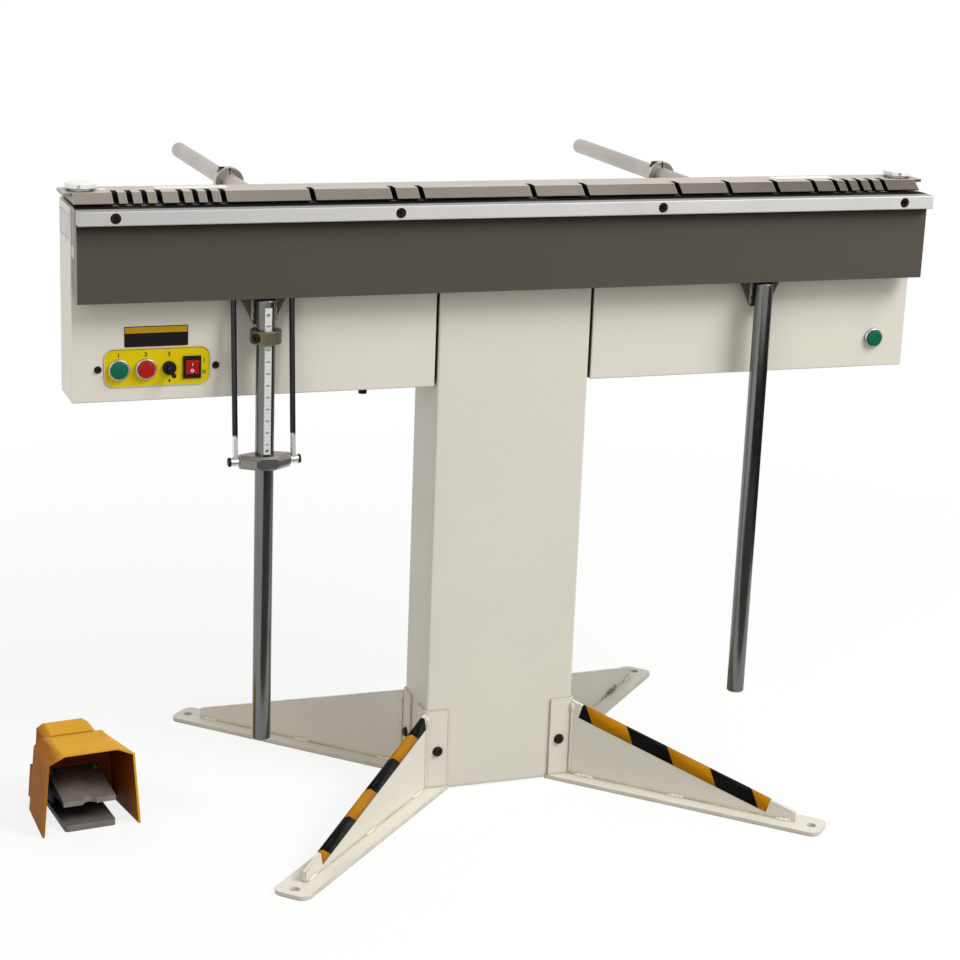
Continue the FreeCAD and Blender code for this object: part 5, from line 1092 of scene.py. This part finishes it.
class BRAKE_OT_backstop(bpy.types.Operator):
    """Finish the backstop rods and their collars"""

    bl_idname = "brake.backstop"
    bl_label = "Backstop"

    def execute(self, context):
        satin = colours().satin
        coat(worked_steel("satin_rod", satin, along=(1, 40, 1)), "backstop_rods", edge=SMALL)
        coat(worked_steel("zinc_collar", satin, 0.24, along=(1, 6, 1), stain=0.1, corner_shade_and_grime=1.0),
             "backstop_collar_left", "backstop_collar_right", edge=SMALL)
        coat(blacked_screw(), "backstop_collar_screw_left", "backstop_collar_screw_right", edge=FINE)
        return {"FINISHED"}


class BRAKE_OT_covers(bpy.types.Operator):
    """Finish the sheet covers, with the bare plate over the control panel"""

    bl_idname = "brake.covers"
    bl_label = "Covers"

    def execute(self, context):
        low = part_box("cover_left")[0]
        # The covers' paint has painted light on its left end face and painted near-black shade in the gaps.
        paint = powder_coat("cream_cover", colours().sheet, soil_share=0.4, edge_soil=0.1, painted_light_end=low.x, painted_gap_shade=True)
        coat(paint, "cover_left", "cover_right")
        x, z = COVER_PLATE_AT
        place = seat((x, low.y, z), FRONT)
        wide, tall = COVER_PLATE
        thick = 0.0004
        plate = Shape().plate(place, rounded(wide, tall, 0.0015), thick)
        plate.make("panel_plate", "frame", printed("dark_plate", "1D1B18", 0.34), "rocker_frame")
        band = Shape().plate(place @ shift(0, 0.0092, thick), rounded(wide - 0.002, 0.0086, 0.0008), FILM)
        band.make("panel_plate_band", "frame", printed("ochre_band", "C79A1E", 0.36), "control_panel")
        return {"FINISHED"}


class BRAKE_OT_controls(bpy.types.Operator):
    """Finish the control panel: buttons, toggle and rocker with their generic marks"""

    bl_idname = "brake.controls"
    bl_label = "Controls"

    def execute(self, context):
        names = colours()
        coat(printed("panel_yellow", names.yellow, 0.34), "control_panel", edge=0.0002)
        coat(blacked_screw(), "panel_screws", edge=FINE)
        coat(moulded("green_cap", names.green, 0.28, 0.12), "start_button", "start_button_right", edge=SMALL)
        coat(moulded("red_cap", names.red, 0.28, 0.12), "stop_button", edge=SMALL)
        coat(worked_steel("bezel_metal", "C8C8C4", 0.28, along=(3, 3, 3)), "button_bezels", edge=0.0004)
        coat(moulded("black_switch", names.black, 0.42), "toggle_switch", "toggle_lever", "rocker_frame",
             "cable_glands", edge=0.0004)
        coat(moulded("red_rocker", names.red, 0.3, 0.12), "rocker", edge=0.0004)
        self.border()
        self.rocker_marks()
        self.panel_marks()
        return {"FINISHED"}

    def border(self):
        """The pale line printed round the edge of the panel, with a thin painted shadow beside it along the top and
        right.
        """
        low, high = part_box("control_panel")
        size = high - low
        place = seat((low.x + size.x / 2, low.y, low.z + size.z / 2), FRONT)
        outer, inner, shadow = (rounded(size.x - inset, size.z - inset, corner, 10) for inset, corner in (
            (0.0010, 0.0135), (0.0024, 0.0128), (0.0026, 0.0127)))
        line = Shape().ring(place, outer, inner, FILM)
        line.make("panel_border", "frame", printed("pale_line", "DDDCC4"), "control_panel")
        # Painted shadow: a dark olive crescent along the top and right, under the edge of the cover's cut-out.
        dark = Shape().ring(place, shadow, [(x - 0.0006, y - 0.0009) for x, y in shadow], 0.00004)
        dark.make("panel_shadow", "frame", printed("olive_line", "5C5210"), "control_panel")

    def rocker_marks(self):
        """The line and the ring on the rocker."""
        low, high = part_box("rocker")
        x, tall = (low.x + high.x) / 2, high.z - low.z
        marks = Shape().plate(lay("rocker", x, low.z + tall * 0.72), block(0.0012, 0.0036), 0.0003, ease=0.0)
        marks.ring(lay("rocker", x, low.z + tall * 0.27), circle(0.0024), circle(0.0013), 0.0003)
        marks.make("rocker_marks", "rocker", printed("white_mark", "ECE8E0"), "angle_scale")

    def panel_marks(self):
        """Plain figures at the buttons and the toggle, and the rocker's marks beside it."""
        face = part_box("control_panel")[0].y
        start, stop, toggle = (middle(name).x for name in ("start_button", "stop_button", "toggle_switch"))
        marks = Shape()
        for x, z, mark, tall in (
            *ROCKER_MARKS, (start, OVER_BUTTONS, "1", 0.0056), (stop, OVER_BUTTONS, "2", 0.0056),
            (toggle, OVER_TOGGLE, "3", 0.0056), (toggle, UNDER_TOGGLE, "4", 0.0050),
        ):
            marks.words(seat((x, face, z), FRONT), mark, tall, INK, bold=0.00028)
        marks.make("panel_marks", "frame", printed("black_ink", "26231F"), "rocker_frame")


class BRAKE_OT_inside(bpy.types.Operator):
    """Finish what sits inside the covers: transformer, rectifier, relay and contact blocks"""

    bl_idname = "brake.inside"
    bl_label = "Inside the covers"

    def execute(self, context):
        coat(stack("varnished_core", "4C4C4E"), "transformer_core", edge=0.0004)
        coat(winding("taped_coil", "A8813A", 0.002), "transformer_coil", edge=0.0008)
        coat(moulded("grey_gear", "55595D"), "control_gear", edge=0.0006)
        coat(moulded("pale_block", "C9C6BC"), "contact_blocks", edge=SMALL)
        return {"FINISHED"}


class BRAKE_OT_foot_switch(bpy.types.Operator):
    """Finish the foot switch: enamelled guard, cast base and the ribbed pedal"""

    bl_idname = "brake.foot_switch"
    bl_label = "Foot switch"

    def execute(self, context):
        names = colours()
        left_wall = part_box("foot_guard")[0].x + 0.022
        coat(enamel("orange_enamel", names.orange, left_wall), "foot_guard", edge=0.0009, steps=3)
        coat(cast_paint("pedal_paint", names.pedal), "foot_pedal", "foot_switch_base", edge=0.0012, steps=3)
        coat(worked_steel("pin_steel", "9A9A98"), "foot_pedal_pin")
        coat(moulded("switch_block", names.black), "foot_switch_block", edge=0.0004)
        return {"FINISHED"}


class BRAKE_OT_studio(bpy.types.Operator):
    """Make the floor, the soft light and the camera"""

    bl_idname = "brake.studio"
    bl_label = "Studio"

    def execute(self, context):
        context.scene.view_settings.view_transform = "Standard"
        self.floor()
        self.daylight(context.scene)
        self.lamps()
        self.cards()
        self.camera(context.scene)
        return {"FINISHED"}

    def put(self, name, data):
        """A new object in the scene."""
        thing = bpy.data.objects.new(name, data)
        bpy.context.scene.collection.objects.link(thing)
        return thing

    def floor(self):
        """A wide pale floor that keeps the shadow near the machine and is plain white further out."""
        shape = bmesh.new()
        bmesh.ops.create_circle(shape, cap_ends=True, segments=96, radius=FLOOR_RADIUS)
        mesh = bpy.data.meshes.new("studio_floor")
        shape.to_mesh(mesh)
        shape.free()
        floor = self.put("studio_floor", mesh)
        floor.location.z = -FLOOR_DROP
        material = bpy.data.materials.new("pale_floor")
        tree = Tree(material)
        seen = tree.node("ShaderNodeLightPath", "Is Camera Ray")
        tone = tree.tint(seen, (0.40, 0.395, 0.385), (0.93, 0.93, 0.92))
        matte = tree.node("ShaderNodeBsdfDiffuse", 0, {"Color": tone})
        white = tree.node("ShaderNodeEmission", 0, {"Strength": 1.0})
        place = tree.node("ShaderNodeTexCoord", "Object")
        away = tree.node("ShaderNodeVectorMath", "Value", {0: place}, operation="LENGTH")
        fade = tree.span(away, SHADOW_NEAR, SHADOW_FAR, 0.82, 1.0, interpolation_type="SMOOTHERSTEP")
        tree.end("ShaderNodeOutputMaterial", tree.times(fade, tree.shown()), matte, white)
        mesh.materials.append(material)

    def daylight(self, scene):
        """Even light from all round, and white where the background shows."""
        scene.world = bpy.data.worlds.new("studio")
        tree = Tree(scene.world)
        soft = tree.node("ShaderNodeBackground", 0, {"Color": (1.0, 0.995, 0.985), "Strength": sizes().daylight})
        white = tree.node("ShaderNodeBackground", 0, {"Color": (1.0, 1.0, 1.0), "Strength": 1.0})
        tree.end("ShaderNodeOutputWorld", tree.shown(), soft, white)

    def lamps(self):
        """Two broad lamps: a key high in front on the right, and a weak fill on the left."""
        for name, (place, wide, power) in LAMPS.items():
            light = bpy.data.lights.new(name, "AREA")
            light.shape = "DISK"
            light.size = wide
            light.energy = power * sizes().lamp
            lamp = self.put(name, light)
            lamp.location = place
            lamp.rotation_euler = (Vector(LAMPS_AIM) - Vector(place)).to_track_quat("-Z", "Y").to_euler()
            lamp.visible_camera = False

    def cards(self):
        """Dark cards that only polished metal sees, so that tubes show their roundness."""
        material = bpy.data.materials.new("dark_card")
        material.use_nodes = True
        shader = material.node_tree.nodes["Principled BSDF"]
        shader.inputs["Base Color"].default_value = (0.09, 0.09, 0.095, 1)
        shader.inputs["Roughness"].default_value = 0.9
        for name, corners in CARDS.items():
            mesh = bpy.data.meshes.new(name)
            mesh.from_pydata(corners, [], [(0, 1, 2, 3)])
            mesh.materials.append(material)
            card = self.put(name, mesh)
            for way in ("camera", "diffuse", "shadow", "transmission"):
                setattr(card, "visible_" + way, False)

    def camera(self, scene):
        """The camera of the photograph: a long lens a little above the bed, turned to the right."""
        data = bpy.data.cameras.new("camera")
        data.lens = CAMERA_LENS
        data.sensor_width = CAMERA_SENSOR
        data.clip_end = 200.0
        turned = Vector((math.sin(CAMERA_RIGHT), math.cos(CAMERA_RIGHT), 0.0))
        ahead = turned * math.cos(CAMERA_DOWN) - Vector(UP) * math.sin(CAMERA_DOWN)
        level = Vector((turned.y, -turned.x, 0.0))
        upward = level.cross(ahead)
        side = level * math.cos(CAMERA_ROLL) + upward * math.sin(CAMERA_ROLL)
        top = upward * math.cos(CAMERA_ROLL) - level * math.sin(CAMERA_ROLL)
        scene.camera = self.put("camera", data)
        scene.camera.matrix_world = shift(*CAMERA_AT) @ Matrix((side, top, -ahead)).transposed().to_4x4()


GROUPS = (
    BRAKE_OT_column, BRAKE_OT_feet, BRAKE_OT_magnet, BRAKE_OT_beam, BRAKE_OT_handles, BRAKE_OT_gauge,
    BRAKE_OT_clamping_bar, BRAKE_OT_backstop, BRAKE_OT_covers, BRAKE_OT_controls, BRAKE_OT_inside,
    BRAKE_OT_foot_switch, BRAKE_OT_studio,
)


class BRAKE_PT_panel(bpy.types.Panel):
    """Lists the groups of the brake, its colours and its sizes"""

    bl_idname = "BRAKE_PT_panel"
    bl_label = "Magnetic brake"
    bl_space_type = "VIEW_3D"
    bl_region_type = "UI"
    bl_category = "Brake"

    def draw(self, context):
        for group in GROUPS:
            self.layout.operator(group.bl_idname)
        for holder in (context.scene.brake_colours, context.scene.brake_sizes):
            column = self.layout.column(align=True)
            for name in holder.__annotations__:
                column.prop(holder, name)


CLASSES = (BrakeColours, BrakeSizes, *GROUPS, BRAKE_PT_panel)


def register():
    """Make the classes known, with their settings on the scene."""
    for one in CLASSES:
        bpy.utils.register_class(one)
    bpy.types.Scene.brake_colours = PointerProperty(type=BrakeColours)
    bpy.types.Scene.brake_sizes = PointerProperty(type=BrakeSizes)


def unregister():
    """Take the classes and their settings away."""
    del bpy.types.Scene.brake_sizes
    del bpy.types.Scene.brake_colours
    for one in reversed(CLASSES):
        bpy.utils.unregister_class(one)


def main():
    """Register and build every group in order."""
    register()
    for group in GROUPS:
        family, name = group.bl_idname.split(".")
        if getattr(getattr(bpy.ops, family), name)() != {"FINISHED"}:
            raise RuntimeError("%s didn't finish" % group.bl_idname)


if __name__ == "__main__":
    main()
